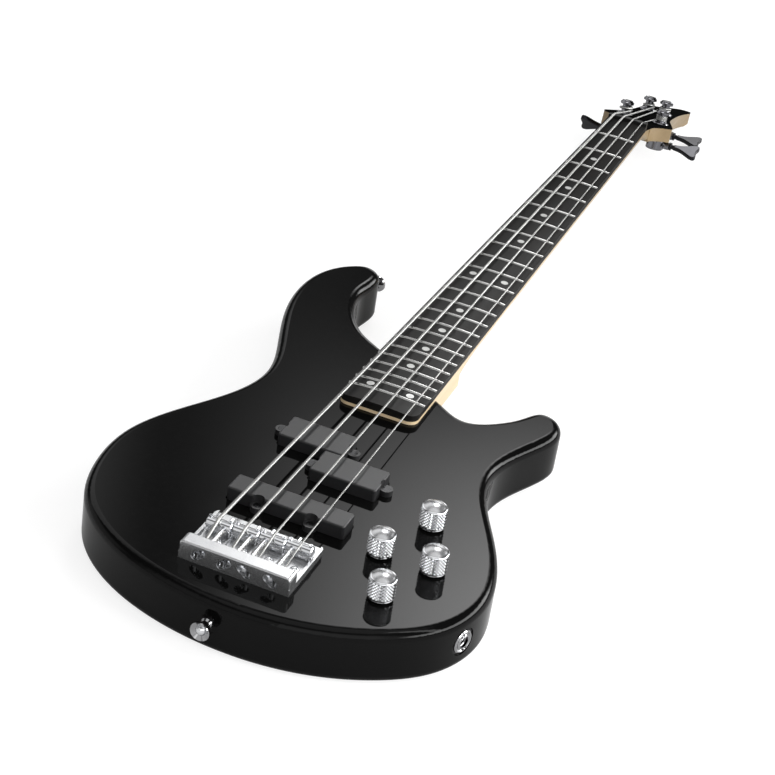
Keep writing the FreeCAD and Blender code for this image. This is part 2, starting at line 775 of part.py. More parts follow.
def neck_section(half, depth, power, place):
    # A flat top and a rounded underside, a half superellipse of the given power
    points = []
    count = 16
    for k in range(count + 1):
        angle = math.pi * k / count
        c = math.cos(angle)
        x = math.copysign(abs(c) ** (2 / power), c) * half
        z = -depth * abs(math.sin(angle)) ** (2 / power)
        points.append(place.multVec(V(x, 0, z)))
    return Part.Wire([spline(points), line(points[-1], points[0])])


def head_outline(from_s, from_half):
    neck_t = V(from_half, from_s, 0)
    neck_b = V(-from_half, from_s, 0)
    treble_edges = [neck_t, V(HEAD_NECK_HALF, HEAD_NECK_S, 0)] + [V(x, s, 0) for x, s in SHOULDER]
    tip_t = V(TREBLE_LOBE[0], TREBLE_LOBE[1], 0)
    tip_b = V(BASS_LOBE[0], BASS_LOBE[1], 0)
    far_t = V(TREBLE_TIP[0], TREBLE_TIP[1], 0)
    far_b = V(BASS_TIP[0], BASS_TIP[1], 0)
    shoulder_b = [V(-p.x, p.y, 0) for p in reversed(treble_edges[1:])]
    waist_t = [V(x, s, 0) for x, s in WAIST]
    waist_b = [V(-x, s, 0) for x, s in reversed(WAIST)]
    edges = [
        line(neck_b, neck_t),
        spline(treble_edges[1:] + [tip_t]),
        spline([tip_t] + waist_t + [far_t]),
        spline([far_t] + [V(x, s, 0) for x, s in HEAD_END] + [far_b]),
        spline([far_b] + waist_b + [tip_b]),
        spline([tip_b] + shoulder_b),
    ]
    if from_s < HEAD_NECK_S:
        edges.insert(1, line(treble_edges[0], treble_edges[1]))
        edges.append(line(shoulder_b[-1], neck_b))
    return Part.Wire(edges)


def head_plate(from_s, from_half, h0, h1):
    plate = Part.Face(head_outline(from_s, from_half)).extrude(V(0, 0, h1 - h0))
    tips = [TREBLE_LOBE, BASS_LOBE, TREBLE_TIP, BASS_TIP]
    plate = plate.makeFillet(HEAD_CORNER_R, upright_edges_at(plate, tips))
    plate.translate(V(0, 0, h0))
    return plate


def rod_places():
    z0 = NECK_TOP - ROD_DROP - ROD_HEIGHT
    return BOARD_END + ROD_HEEL_MARGIN, HEAD_Y + 2, z0


def neck_cuts():
    y0, y1, z0 = rod_places()
    g = ROD_CLEARANCE
    half = ROD_WIDTH / 2 + g
    cuts = [box(-half, half, y0 - g, y1, z0 - g, NECK_TOP)]
    wide = ROD_POCKET_HALF
    cuts.append(box(-wide, wide, HEAD_Y + 1, HEAD_Y + ROD_POCKET_LENGTH, z0 - g, NECK_TOP + OVERLAY_T))
    for i in range(4):
        through = HEAD_T + OVERLAY_T + 2
        hole = rod(post_place(i) + V(0, 0, -HEAD_T - 1), Z_AXIS, BUSHING_RADIUS + PILOT_GAP, through)
        ear = post_place(i) + V(0, -TUNER_EAR_OFFSET, -HEAD_T - TUNER_EAR_T)
        cuts.append(on_head(hole))
        cuts.append(on_head(pilot(ear, Z_AXIS, SMALL_SCREW_R, SMALL_SCREW_LENGTH)))
    for x, s in rod_cover_screw_places():
        cuts.append(on_head(pilot(V(x, s, OVERLAY_T), -Z_AXIS, SMALL_SCREW_R, SMALL_SCREW_LENGTH)))
    for x, y in plate_screw_places():
        cuts.append(pilot(V(x, y, POCKET_FLOOR), Z_AXIS, NECK_SCREW_R, NECK_SCREW_INTO_HEEL))
    return cuts


def make_neck():
    heel_end = BOARD_END + HEEL_LENGTH
    blend_end = heel_end + HEEL_BLEND
    heel_depth = NECK_TOP - POCKET_FLOOR
    inside = moved(0, heel_end - HEEL_INSET, NECK_TOP)
    heel = neck_section(neck_half(heel_end) - HEEL_INSET, heel_depth - HEEL_INSET, HEEL_POWER, inside)
    shaft = neck_section(neck_half(blend_end), SHAFT_DEPTH_HEEL, SHAFT_POWER, moved(0, blend_end, NECK_TOP))
    nut = neck_section(NUT_WIDTH / 2, SHAFT_DEPTH_NUT, SHAFT_POWER, moved(0, HEAD_Y, NECK_TOP))
    head = neck_section(HEAD_NECK_HALF, HEAD_T, HEAD_POWER, HEAD.multiply(moved(0, HEAD_NECK_S, 0)))
    pieces = [
        Part.makeLoft([heel, shaft], True, True),
        Part.makeLoft([shaft, nut], True, True),
        Part.makeLoft([nut, head], True, True),
        on_head(head_plate(HEAD_NECK_S, HEAD_NECK_HALF, -HEAD_T, 0)),
    ]
    whole = heel_block(0, POCKET_FLOOR, NECK_TOP).fuse(pieces)
    save("neck", whole.cut(neck_cuts()))


def make_headstock_overlay():
    plate = on_head(head_plate(0.2, NUT_WIDTH / 2, 0, OVERLAY_T))
    save("headstock_overlay", plate.cut(neck_cuts()))


def make_truss_rod():
    y0, y1, z0 = rod_places()
    bar = box(-ROD_WIDTH / 2, ROD_WIDTH / 2, y0, y1, z0, z0 + ROD_HEIGHT)
    nut = hexagon(V(0, y1, z0 + ROD_HEIGHT / 2), Y_AXIS, ROD_NUT_RADIUS * math.sqrt(3), ROD_NUT_LENGTH)
    socket_start = V(0, y1 + ROD_NUT_LENGTH / 2, z0 + ROD_HEIGHT / 2)
    socket = hexagon(socket_start, Y_AXIS, ROD_NUT_RADIUS, ROD_NUT_LENGTH)
    save("truss_rod", bar.fuse(nut).cut(socket))


def make_rod_cover():
    middle = ROD_COVER_START + ROD_COVER_LENGTH / 2
    top = OVERLAY_T + ROD_COVER_T
    plate = rounded_plate(0, middle, ROD_COVER_WIDTH, ROD_COVER_LENGTH, ROD_COVER_WIDTH / 3, OVERLAY_T, top)
    plate = plate.makeChamfer(ROD_COVER_T * 0.4, edges_at(plate, top))
    screws = [small_screw(V(x, s, top), -Z_AXIS) for x, s in rod_cover_screw_places()]
    save("truss_rod_cover", on_head(plate.cut(screws)))


def board_round(extra):
    # The round bar whose top is the arched playing surface, raised by an extra height
    start = V(0, BOARD_END - 50, BOARD_AXIS_Z)
    return rod(start, Y_AXIS, BOARD_RADIUS + extra, SCALE + 100)


def board_arc(profile, y, reach):
    # A section in the plane across the frets, revolved round the board's axis to a half-width
    angle = math.degrees(math.asin(reach / BOARD_RADIUS))
    axis = V(0, y, BOARD_AXIS_Z)
    section = Part.Face(profile)
    section.rotate(axis, Y_AXIS, -angle)
    return section.revolve(axis, Y_AXIS, 2 * angle)


def tang_profile(y):
    top = BOARD_AXIS_Z + BOARD_RADIUS
    half = TANG_WIDTH / 2
    points = [V(0, y - half, top - TANG_DEPTH), V(0, y + half, top - TANG_DEPTH),
              V(0, y + half, top + 1), V(0, y - half, top + 1)]
    return Part.makePolygon(points + points[:1])


def fret_profile(y):
    top = BOARD_AXIS_Z + BOARD_RADIUS
    half = TANG_WIDTH / 2
    wide = FRET_WIDTH / 2
    crown = Part.Arc(V(0, y + wide, top), V(0, y, top + FRET_HEIGHT), V(0, y - wide, top)).toShape()
    foot = Part.makePolygon([V(0, y - wide, top), V(0, y - half, top), V(0, y - half, top - TANG_DEPTH),
                             V(0, y + half, top - TANG_DEPTH), V(0, y + half, top), V(0, y + wide, top)])
    return Part.Wire([crown] + foot.Edges)


def dot_places():
    places = [(0, (fret_y(n) + fret_y(n - 1)) / 2) for n in SINGLE_DOT_FRETS]
    for n in DOUBLE_DOT_FRETS:
        y = (fret_y(n) + fret_y(n - 1)) / 2
        aside = neck_half(y) * DOUBLE_DOT_SHARE
        places.extend([(-aside, y), (aside, y)])
    return places


def dot_pegs():
    pegs = []
    for x, y in dot_places():
        pegs.append(rod(V(x, y, board_surface(x) - DOT_DEPTH), Z_AXIS, DOT_RADIUS, DOT_DEPTH * 2))
    return pegs


def make_fingerboard():
    h0 = neck_half(BOARD_END)
    corners = [V(-h0, BOARD_END, NECK_TOP), V(h0, BOARD_END, NECK_TOP),
               V(NUT_WIDTH / 2, SCALE, NECK_TOP), V(-NUT_WIDTH / 2, SCALE, NECK_TOP)]
    blank = Part.Face(Part.makePolygon(corners + corners[:1])).extrude(V(0, 0, BOARD_T + 1))
    blank = blank.makeFillet(BOARD_CORNER_R, upright_edges_at(blank, [(-h0, BOARD_END), (h0, BOARD_END)]))
    blank = blank.common(board_round(0))
    slots = []
    frets = []
    for n in range(1, FRET_COUNT + 1):
        y = fret_y(n)
        slots.append(board_arc(tang_profile(y), y, neck_half(y) + 3))
        frets.append(board_arc(fret_profile(y), y, neck_half(y) - FRET_INSET))
    save("fingerboard", blank.cut(slots + dot_pegs()))
    save("frets", *frets)
    save("fret_dots", *[peg.common(board_round(0)) for peg in dot_pegs()])


def slot_section(centre, radius):
    # A round bottom under the string's centre and straight sides above it
    right = centre + X_AXIS * radius
    left = centre - X_AXIS * radius
    bottom = Part.Arc(left, centre - Z_AXIS * radius, right).toShape()
    rise = Z_AXIS * BOARD_T
    sides = Part.makePolygon([right, right + rise, left + rise, left])
    return Part.Face(Part.Wire([bottom] + sides.Edges))


def make_nut():
    half = NUT_WIDTH / 2
    block = box(-half, half, SCALE, HEAD_Y, NECK_TOP, NECK_TOP + BOARD_T + NUT_RISE * 2)
    block = block.common(board_round(NUT_RISE))
    slots = []
    for i, diameter in enumerate(STRING_DIAMETERS):
        route = string_route(i)
        radius = diameter / 2 + STRING_GAP
        for toward in (route["saddle"], route["post"]):
            way = (toward - route["nut"]).normalize()
            slots.append(slot_section(route["nut"], radius).extrude(way * NUT_T))
    save("nut", block.cut(slots))


# Tuning machines


def make_tuner_fixtures():
    housings = []
    bushings = []
    for i in range(4):
        housings.append(on_head(tuner_housing(i)))
        bushings.append(on_head(tuner_bushing(i)))
    save("tuner_housings", *housings)
    save("tuner_bushings", *bushings)


def key_side(i):
    return -centre_side(i)


def tuner_housing(i):
    place = post_place(i)
    out = X_AXIS * key_side(i)
    worm = place + V(0, WORM_OFFSET, WORM_H)
    under = place + V(0, 0, -HEAD_T)
    cup = rod(under, -Z_AXIS, HOUSING_RADIUS, HOUSING_DEPTH)
    cup = cup.makeFillet(HOUSING_WALL, edges_at(cup, under.z - HOUSING_DEPTH))
    barrel = rod(worm - out * WORM_BARREL_HALF, out, WORM_BARREL_R, 2 * WORM_BARREL_HALF)
    nose = rod(worm, out, NOSE_RADIUS, NOSE_END)
    ear = rod(place + V(0, -TUNER_EAR_OFFSET, -HEAD_T), -Z_AXIS, TUNER_EAR_R, TUNER_EAR_T)
    tab = box(place.x - TUNER_EAR_R, place.x + TUNER_EAR_R, place.y - TUNER_EAR_OFFSET, place.y,
              -HEAD_T - TUNER_EAR_T, -HEAD_T)
    room = rod(under, -Z_AXIS, WHEEL_RADIUS + 1, HOUSING_DEPTH - HOUSING_WALL)
    worm_room = rod(worm - out * (WORM_BARREL_HALF - HOUSING_WALL), out, WORM_RADIUS + WORM_GAP,
                    2 * (WORM_BARREL_HALF - HOUSING_WALL))
    bearing = rod(worm, out, WORM_RADIUS + RUNNING_CLEARANCE, NOSE_END)
    screw = small_screw(place + V(0, -TUNER_EAR_OFFSET, -HEAD_T - TUNER_EAR_T), Z_AXIS)
    return cup.fuse([barrel, nose, ear, tab]).cut([room, worm_room, bearing, screw])


def tuner_bushing(i):
    place = post_place(i) + V(0, 0, OVERLAY_T)
    flange = rod(place, Z_AXIS, BUSHING_FLANGE_R, BUSHING_FLANGE_T)
    flange = flange.makeChamfer(BUSHING_FLANGE_T * 0.4, edges_at(flange, OVERLAY_T + BUSHING_FLANGE_T))
    sleeve = rod(place, -Z_AXIS, BUSHING_RADIUS, OVERLAY_T + HEAD_T)
    bore = rod(place + V(0, 0, -HEAD_T * 2), Z_AXIS, POST_RADIUS + RUNNING_CLEARANCE, HEAD_T * 3)
    return flange.fuse(sleeve).cut(bore)


def wheel_teeth(place, z0):
    gaps = []
    for k in range(WHEEL_TEETH):
        angle = 2 * math.pi * k / WHEEL_TEETH
        spot = V(place.x + WHEEL_RADIUS * math.cos(angle), place.y + WHEEL_RADIUS * math.sin(angle), z0)
        gaps.append(rod(spot, Z_AXIS, TOOTH_GAP_R, WHEEL_T))
    return gaps


def make_tuner_post(i):
    base = OVERLAY_T
    wheel_top = WORM_H + WHEEL_T / 2
    flange_top = base + BUSHING_FLANGE_T
    top = base + POST_HEIGHT
    ring = base + POST_WAIST_TO + POST_FLARE_STEP
    profile = [
        (0, wheel_top - WHEEL_T), (WHEEL_RADIUS, wheel_top - WHEEL_T), (WHEEL_RADIUS, wheel_top),
        (POST_RADIUS, wheel_top), (POST_RADIUS, flange_top + STRING_GAP),
        (POST_COLLAR_R, flange_top + STRING_GAP),
        (POST_COLLAR_R, base + POST_WAIST_FROM - POST_EDGE / 2), (POST_WAIST_R, base + POST_WAIST_FROM),
        (POST_WAIST_R, base + POST_WAIST_TO), (POST_FLARE_R, ring), (POST_FLARE_R, ring + POST_RING_T),
        (POST_CAP_R, ring + POST_RING_T + POST_CAP_STEP),
        (POST_CAP_R, top - POST_EDGE), (POST_CAP_R - POST_EDGE, top), (0, top),
    ]
    place = post_place(i)
    post = revolved(profile, place, Z_AXIS)
    winding = string_winding(i)
    reach = POST_FLARE_R + 1
    room = STRING_DIAMETERS[i] / 2 + STRING_GAP
    slot_floor = winding["nodes"][-1][0].z - room
    slot = box(-reach, reach, -POST_SLOT / 2, POST_SLOT / 2, slot_floor, top + 1)
    slot.rotate(V(0, 0, 0), Z_AXIS, winding["slot"])
    slot.translate(V(place.x, place.y, 0))
    mouth = tube(biarcs(winding["nodes"][-2:]), room)
    cuts = [slot, mouth] + wheel_teeth(place, wheel_top - WHEEL_T)
    save("tuner_post_" + STRING_NAMES[i], on_head(post.cut(cuts)))


def key_paddle():
    # The flat finger plate, along +X from its neck to its tip
    side = [V(x, y, 0) for x, y in KEY_PADDLE]
    other = [V(x, -y, 0) for x, y in reversed(KEY_PADDLE)]
    tip = V(KEY_PADDLE_TIP, 0, 0)
    edge = spline(side + [tip] + other)
    face = Part.Face(Part.Wire([edge, line(other[-1], side[0])]))
    plate = face.extrude(V(0, 0, KEY_PADDLE_T))
    plate.translate(V(0, 0, -KEY_PADDLE_T / 2))
    rims = edges_at(plate, KEY_PADDLE_T / 2) + edges_at(plate, -KEY_PADDLE_T / 2)
    return plate.makeFillet(KEY_PADDLE_EDGE_R, rims)


def make_tuner_key(i):
    inner = WORM_BARREL_HALF - HOUSING_WALL - WORM_GAP
    collar_at = NOSE_END + KEY_COLLAR_GAP
    shaft = rod(V(-inner, 0, 0), X_AXIS, WORM_RADIUS, inner + KEY_PADDLE_START + 2)
    collar = rod(V(collar_at, 0, 0), X_AXIS, KEY_COLLAR_R, KEY_COLLAR_T)
    collar = collar.makeFillet(KEY_COLLAR_T * 0.3, [collar.Edges[0], collar.Edges[2]])
    paddle = key_paddle()
    paddle.translate(V(KEY_PADDLE_START, 0, 0))
    key = shaft.fuse([collar, paddle]).removeSplitter()
    key.rotate(V(0, 0, 0), X_AXIS, KEY_REST_TURN[STRING_NAMES[i]])
    if key_side(i) < 0:
        key.rotate(V(0, 0, 0), Z_AXIS, 180)
    key.translate(post_place(i) + V(0, WORM_OFFSET, WORM_H))
    save("tuner_key_" + STRING_NAMES[i], on_head(key))


# Strings


def winding_radius(i):
    return POST_WAIST_R + STRING_GAP + STRING_DIAMETERS[i] / 2


def string_winding(i):
    # The turns round the post in the headstock's own plane: first touch, quarter turns, slot
    turn = centre_side(i)
    place = post_place(i)
    radius = winding_radius(i)
    thick = STRING_DIAMETERS[i]
    pitch = thick + WINDING_GAP
    low = OVERLAY_T + POST_WAIST_FROM + STRING_GAP + thick / 2
    nut = HEAD.inverse().multVec(nut_corner(i))
    away = V(nut.x - place.x, nut.y - place.y, 0)
    first = math.atan2(away.y, away.x) + turn * math.acos(radius / away.Length)
    nodes = []
    for k in range(WINDING_QUARTERS + 1):
        angle = first + turn * math.pi / 2 * k
        point = place + V(radius * math.cos(angle), radius * math.sin(angle), low + pitch * k / 4)
        slope = pitch / (2 * math.pi)
        heading = V(-turn * radius * math.sin(angle), turn * radius * math.cos(angle), slope).normalize()
        nodes.append((point, heading))
    entry = first + turn * (math.pi / 2 * WINDING_QUARTERS + math.radians(SLOT_ENTRY))
    inward = V(-math.cos(entry), -math.sin(entry), 0)
    inside = place + V(0, 0, low + pitch * WINDING_QUARTERS / 4) - inward * (thick / 2)
    nodes.append((inside, inward))
    return {"nodes": nodes, "slot": math.degrees(entry)}


def nut_corner(i):
    x = string_x(i, NUT_SPACING)
    z = board_surface(x) + STRING_RISE_AT_NUT + STRING_DIAMETERS[i] / 2
    return V(x, SCALE + NUT_T / 2, z)


def string_route(i):
    # Ball end, corner over the saddle, corner over the nut, first touch on the post
    x = string_x(i, BRIDGE_SPACING)
    ball = V(x, RECESS_FLOOR, BODY_T + BALL_Z)
    nut = nut_corner(i)
    axis = V(x, SADDLE_Y[i], SADDLE_AXIS_Z)
    radius = SADDLE_RADIUS + STRING_GAP + STRING_DIAMETERS[i] / 2
    saddle = axis + Z_AXIS * radius
    for step in range(4):
        d1 = (saddle - ball).normalize()
        d2 = (nut - saddle).normalize()
        half = d1.getAngle(d2) / 2
        saddle = axis + (d1 - d2).normalize() * (radius / math.cos(half))
    post = HEAD.multVec(string_winding(i)["nodes"][0][0])
    return {"ball": ball, "saddle": saddle, "nut": nut, "post": post, "saddle_radius": radius}


def make_string(i):
    radius = STRING_DIAMETERS[i] / 2
    route = string_route(i)
    over_saddle = rounded_corner(route["ball"], route["saddle"], route["nut"], route["saddle_radius"])
    over_nut = rounded_corner(route["saddle"], route["nut"], route["post"], NUT_T * 4)
    way = (route["saddle"] - route["ball"]).normalize()
    start = route["ball"] + way * (radius * math.tan(way.getAngle(Y_AXIS)))
    edges = [
        line(start, over_saddle[0]),
        corner_arc(over_saddle[0], route["saddle"], over_saddle[1]),
        line(over_saddle[1], over_nut[0]),
        corner_arc(over_nut[0], route["nut"], over_nut[1]),
        line(over_nut[1], route["post"]),
    ]
    turn = HEAD.Rotation
    nodes = [(HEAD.multVec(p), turn.multVec(t)) for p, t in string_winding(i)["nodes"]]
    nodes[0] = (route["post"], (route["post"] - over_nut[1]).normalize())
    wound = biarcs(nodes)
    end, inward = nodes[-1]
    wound.append(line(end, end + inward * 2 * radius))
    solid = tube(edges + wound, radius)
    save("string_" + STRING_NAMES[i], solid)
    report_tube("string_" + STRING_NAMES[i], edges + wound, radius, solid, wound, math.pi * winding_radius(i))


def make_ball_ends():
    balls = []
    for i in range(4):
        place = V(string_x(i, BRIDGE_SPACING), RECESS_FLOOR - BALL_RADIUS, BODY_T + BALL_Z - BALL_LENGTH / 2)
        ball = rod(place, Z_AXIS, BALL_RADIUS, BALL_LENGTH)
        balls.append(ball.cut(rod(place, Z_AXIS, BALL_RADIUS / 2, BALL_LENGTH)))
    save("string_ball_ends", *balls)


# Bridge


def bridge_lip():
    # The raised rear wall: its two ends are rounded over the most, and then its long top edges
    half = BRIDGE_WIDTH / 2
    top = BODY_T + BRIDGE_LIP_H
    lip = box(-half, half, BRIDGE_BACK, LIP_FRONT, BODY_T, top)
    ends = [e for e in edges_at(lip, top) if abs(e.Vertexes[0].X - e.Vertexes[1].X) < 1e-6]
    lip = lip.makeFillet(BRIDGE_LIP_SIDE_R, ends)
    long_edges = []
    for edge in lip.Edges:
        level = abs(edge.Vertexes[0].Y - edge.Vertexes[1].Y) < 1e-6
        if level and all(v.Z > top - BRIDGE_LIP_SIDE_R - 1e-6 for v in edge.Vertexes):
            long_edges.append(edge)
    return lip.makeFillet(BRIDGE_LIP_EDGE_R, long_edges)


def make_bridge():
    half = BRIDGE_WIDTH / 2
    top = BODY_T + BRIDGE_PLATE_T
    plate = box(-half, half, BRIDGE_BACK, BRIDGE_FRONT, BODY_T, BODY_T + BRIDGE_RAIL_H)
    corners = upright_edges_at(plate, [(-half, BRIDGE_FRONT), (half, BRIDGE_FRONT)])
    plate = plate.makeFillet(BRIDGE_CORNER_R, corners)
    well = half - BRIDGE_RAIL_WIDTH
    hollow = box(-well, well, BRIDGE_BACK, BRIDGE_FRONT + 1, top, top + BRIDGE_RAIL_H)
    lip = bridge_lip()
    ribs = []
    for x in (-BRIDGE_SPACING, 0, BRIDGE_SPACING):
        rib_half = BRIDGE_RIB_WIDTH / 2
        ribs.append(box(x - rib_half, x + rib_half, LIP_FRONT - 1, BRIDGE_FRONT - BRIDGE_CORNER_R,
                        BODY_T, top + BRIDGE_RIB_H))
    cuts = []
    for i, diameter in enumerate(STRING_DIAMETERS):
        route = string_route(i)
        way = (route["saddle"] - route["ball"]).normalize()
        cuts.append(recess(i))
        cuts.append(rod(route["ball"] - way, way, diameter / 2 + STRING_HOLE_GAP, BRIDGE_LIP_T))
        cuts.append(rod(V(screw_x(i), BRIDGE_BACK, SADDLE_AXIS_Z), Y_AXIS, SCREW_RADIUS + RUNNING_CLEARANCE,
                        BRIDGE_LIP_T + 1))
    for x, y in bridge_screw_places():
        cuts.append(rod(V(x, y, BODY_T), Z_AXIS, BRIDGE_SCREW_R + PILOT_GAP, BRIDGE_LIP_H))
        cuts.append(rod(V(x, y, top), Z_AXIS, BRIDGE_SCREW_HEAD_R + PILOT_GAP, BRIDGE_LIP_H))
    whole = plate.cut(hollow).fuse([lip] + ribs).removeSplitter()
    save("bridge", whole.cut(cuts))


def make_bridge_screws():
    top = BODY_T + BRIDGE_PLATE_T
    screws = [domed_screw(V(x, y, top), -Z_AXIS, BRIDGE_SCREW_R, BRIDGE_SCREW_HEAD_R, BRIDGE_SCREW_HEAD_H,
                          BRIDGE_SCREW_LENGTH) for x, y in bridge_screw_places()]
    save("bridge_screws", *screws)


def grub_places(i):
    x = string_x(i, BRIDGE_SPACING)
    foot = BODY_T + BRIDGE_PLATE_T + GRUB_FOOT_GAP
    return [V(x + side * GRUB_OFFSET, SADDLE_Y[i], foot) for side in (-1, 1)]


def make_saddle(i):
    x = string_x(i, BRIDGE_SPACING)
    y = SADDLE_Y[i]
    start = V(x - SADDLE_LENGTH / 2, y, SADDLE_AXIS_Z)
    barrel = rod(start, X_AXIS, SADDLE_RADIUS, SADDLE_LENGTH)
    barrel = barrel.makeChamfer(SADDLE_RADIUS / 8, [barrel.Edges[0], barrel.Edges[2]])
    hole_start = V(screw_x(i), y - SADDLE_RADIUS, SADDLE_AXIS_Z)
    cuts = [
        rod(hole_start, Y_AXIS, SCREW_RADIUS + RUNNING_CLEARANCE, 2 * SADDLE_RADIUS),
        rod(V(screw_x(i), y - SADDLE_SEAT, SADDLE_AXIS_Z), -Y_AXIS, SADDLE_SEAT_R, SADDLE_RADIUS),
    ]
    grubs = []
    top = BODY_T + GRUB_TOP
    for foot in grub_places(i):
        grub = rod(foot, Z_AXIS, GRUB_RADIUS, top - foot.z)
        socket = hexagon(V(foot.x, foot.y, top - HEX_SOCKET_DEPTH), Z_AXIS, HEX_SOCKET, HEX_SOCKET_DEPTH)
        grubs.append(grub.cut(socket))
        cuts.append(rod(foot, Z_AXIS, GRUB_RADIUS + PILOT_GAP, BRIDGE_LIP_H))
    save("saddle_" + STRING_NAMES[i], barrel.cut(cuts))
    save("height_screws_" + STRING_NAMES[i], *grubs)


def make_intonation_screw(i):
    x = screw_x(i)
    floor = V(x, RECESS_FLOOR, SADDLE_AXIS_Z)
    length = SADDLE_Y[i] + SADDLE_RADIUS + SCREW_TIP_PAST_SADDLE - RECESS_FLOOR
    shank = rod(floor, Y_AXIS, SCREW_RADIUS, length)
    head = rod(floor, -Y_AXIS, SCREW_HEAD_R, SCREW_HEAD_T)
    head = head.makeFillet(SCREW_HEAD_T * 0.4, [head.Edges[0]])
    slots = []
    for turn in (45, 135):
        slot = box(-SCREW_HEAD_R * 0.6, SCREW_HEAD_R * 0.6, -SCREW_HEAD_T, -SCREW_HEAD_T * 0.4,
                   -SCREW_HEAD_R * 0.16, SCREW_HEAD_R * 0.16)
        slot.rotate(V(0, 0, 0), Y_AXIS, turn)
        slot.translate(floor)
        slots.append(slot)
    save("intonation_screw_" + STRING_NAMES[i], shank.fuse(head).cut(slots))


def intonation_spring(i):
    # One wire, square on the lip and on the saddle's seat, with its curls between
    start = LIP_FRONT
    end = SADDLE_Y[i] - SADDLE_SEAT - STRING_GAP
    wire = 2 * SPRING_WIRE_R
    centre = V(screw_x(i), 0, SADDLE_AXIS_Z)
    rise = (end - start - 2 * wire) / (4 * SPRING_CURLS)
    nodes = []
    for k in range(4 * SPRING_CURLS + 1):
        angle = math.pi / 2 * k
        out = V(math.cos(angle), 0, math.sin(angle))
        round_way = V(-math.sin(angle), 0, math.cos(angle)) * SPRING_RADIUS
        heading = (round_way + Y_AXIS * (rise * 2 / math.pi)).normalize()
        nodes.append((centre + out * SPRING_RADIUS + Y_AXIS * (start + wire + rise * k), heading))
    nodes[0] = (nodes[0][0], Y_AXIS)
    nodes[-1] = (nodes[-1][0], Y_AXIS)
    edges = [line(nodes[0][0] - Y_AXIS * wire, nodes[0][0])]
    edges.extend(biarcs(nodes))
    edges.append(line(nodes[-1][0], nodes[-1][0] + Y_AXIS * wire))
    solid = tube(edges, SPRING_WIRE_R)
    name = "intonation_spring_" + STRING_NAMES[i]
    report_tube(name, edges, SPRING_WIRE_R, solid, edges, math.pi * SPRING_RADIUS)
    return solid


# Pickups


def pickup_cover(x, y, length, depth, rise, ears):
    # A closed black cover with round screw ears standing on the body, and a scoop above each ear
    top = BODY_T + rise
    shell = rounded_plate(x, y, length, depth, COVER_CORNER_R, COVER_FLOOR, top)
    shell = shell.makeFillet(COVER_EDGE_R, edges_at(shell, top))
    wall = 2 * COVER_WALL
    core = rounded_plate(x, y, length - wall, depth - wall, COVER_CORNER_R / 2, COVER_FLOOR, top - COVER_WALL)
    scoops = []
    bosses = []
    holes = []
    for ex, ey in ears:
        bosses.append(rod(V(ex, ey, BODY_T), Z_AXIS, EAR_RADIUS, EAR_HEIGHT))
        scoops.append(rod(V(ex, ey, BODY_T + EAR_HEIGHT), Z_AXIS, EAR_RADIUS, rise))
        core = core.cut(rod(V(ex, ey, COVER_FLOOR), Z_AXIS, EAR_RADIUS + COVER_WALL, COVER_SINK + rise))
        holes.append(pickup_screw(ex, ey, PILOT_GAP))
    return shell.fuse(bosses).cut(scoops + holes + [core]).removeSplitter()


def pickup_screw(x, y, grow):
    seat = V(x, y, BODY_T + EAR_HEIGHT - PICKUP_SCREW_HEAD_T)
    head = rod(seat - Z_AXIS * grow, Z_AXIS, PICKUP_SCREW_HEAD_R + grow, PICKUP_SCREW_HEAD_T + grow)
    shank = rod(seat, -Z_AXIS, PICKUP_SCREW_R + grow, PICKUP_SCREW_LENGTH - PICKUP_SCREW_HEAD_T)
    return head.fuse(shank)


def pickup_coil(x, y, length, depth, rise, ears):
    # Base plate on the cavity floor, coil, and a top plate under the cover's roof
    wall = 2 * COVER_WALL
    inner_length = length - wall - 2 * COIL_GAP
    inner_depth = depth - wall - 2 * COIL_GAP
    roof = BODY_T + rise - COVER_WALL - COIL_GAP
    base = rounded_plate(x, y, length, depth, COVER_CORNER_R, COVER_FLOOR - COIL_BASE_T, COVER_FLOOR)
    coil_length = inner_length - COIL_NECK
    coil_depth = inner_depth - COIL_NECK
    coil = rounded_plate(x, y, coil_length, coil_depth, COVER_CORNER_R, COVER_FLOOR, roof)
    plate = rounded_plate(x, y, inner_length, inner_depth, COVER_CORNER_R / 2, roof - COIL_PLATE_T, roof)
    clear = []
    room = EAR_RADIUS + COVER_WALL + EAR_CORE_GAP
    for ex, ey in ears:
        clear.append(rod(V(ex, ey, COVER_FLOOR), Z_AXIS, room, COVER_SINK + rise))
        clear.append(pickup_screw(ex, ey, EAR_CORE_GAP))
    return base.fuse([coil, plate]).cut(clear)


def make_pickups():
    covers = []
    coils = []
    for x, y in split_centres():
        ears = split_ears(x, y)
        covers.append(pickup_cover(x, y, SPLIT_LENGTH, SPLIT_DEPTH, SPLIT_RISE, ears))
        coils.append(pickup_coil(x, y, SPLIT_LENGTH, SPLIT_DEPTH, SPLIT_RISE, ears))
    save("split_pickup_covers", *covers)
    single = (0, SINGLE_Y, SINGLE_LENGTH, SINGLE_DEPTH, SINGLE_RISE, single_ears())
    save("single_pickup_cover", pickup_cover(*single))
    coils.append(pickup_coil(*single))
    save("pickup_coils", *coils)
    save("pickup_screws", *[pickup_screw(x, y, 0) for x, y in ear_places()])


# Controls


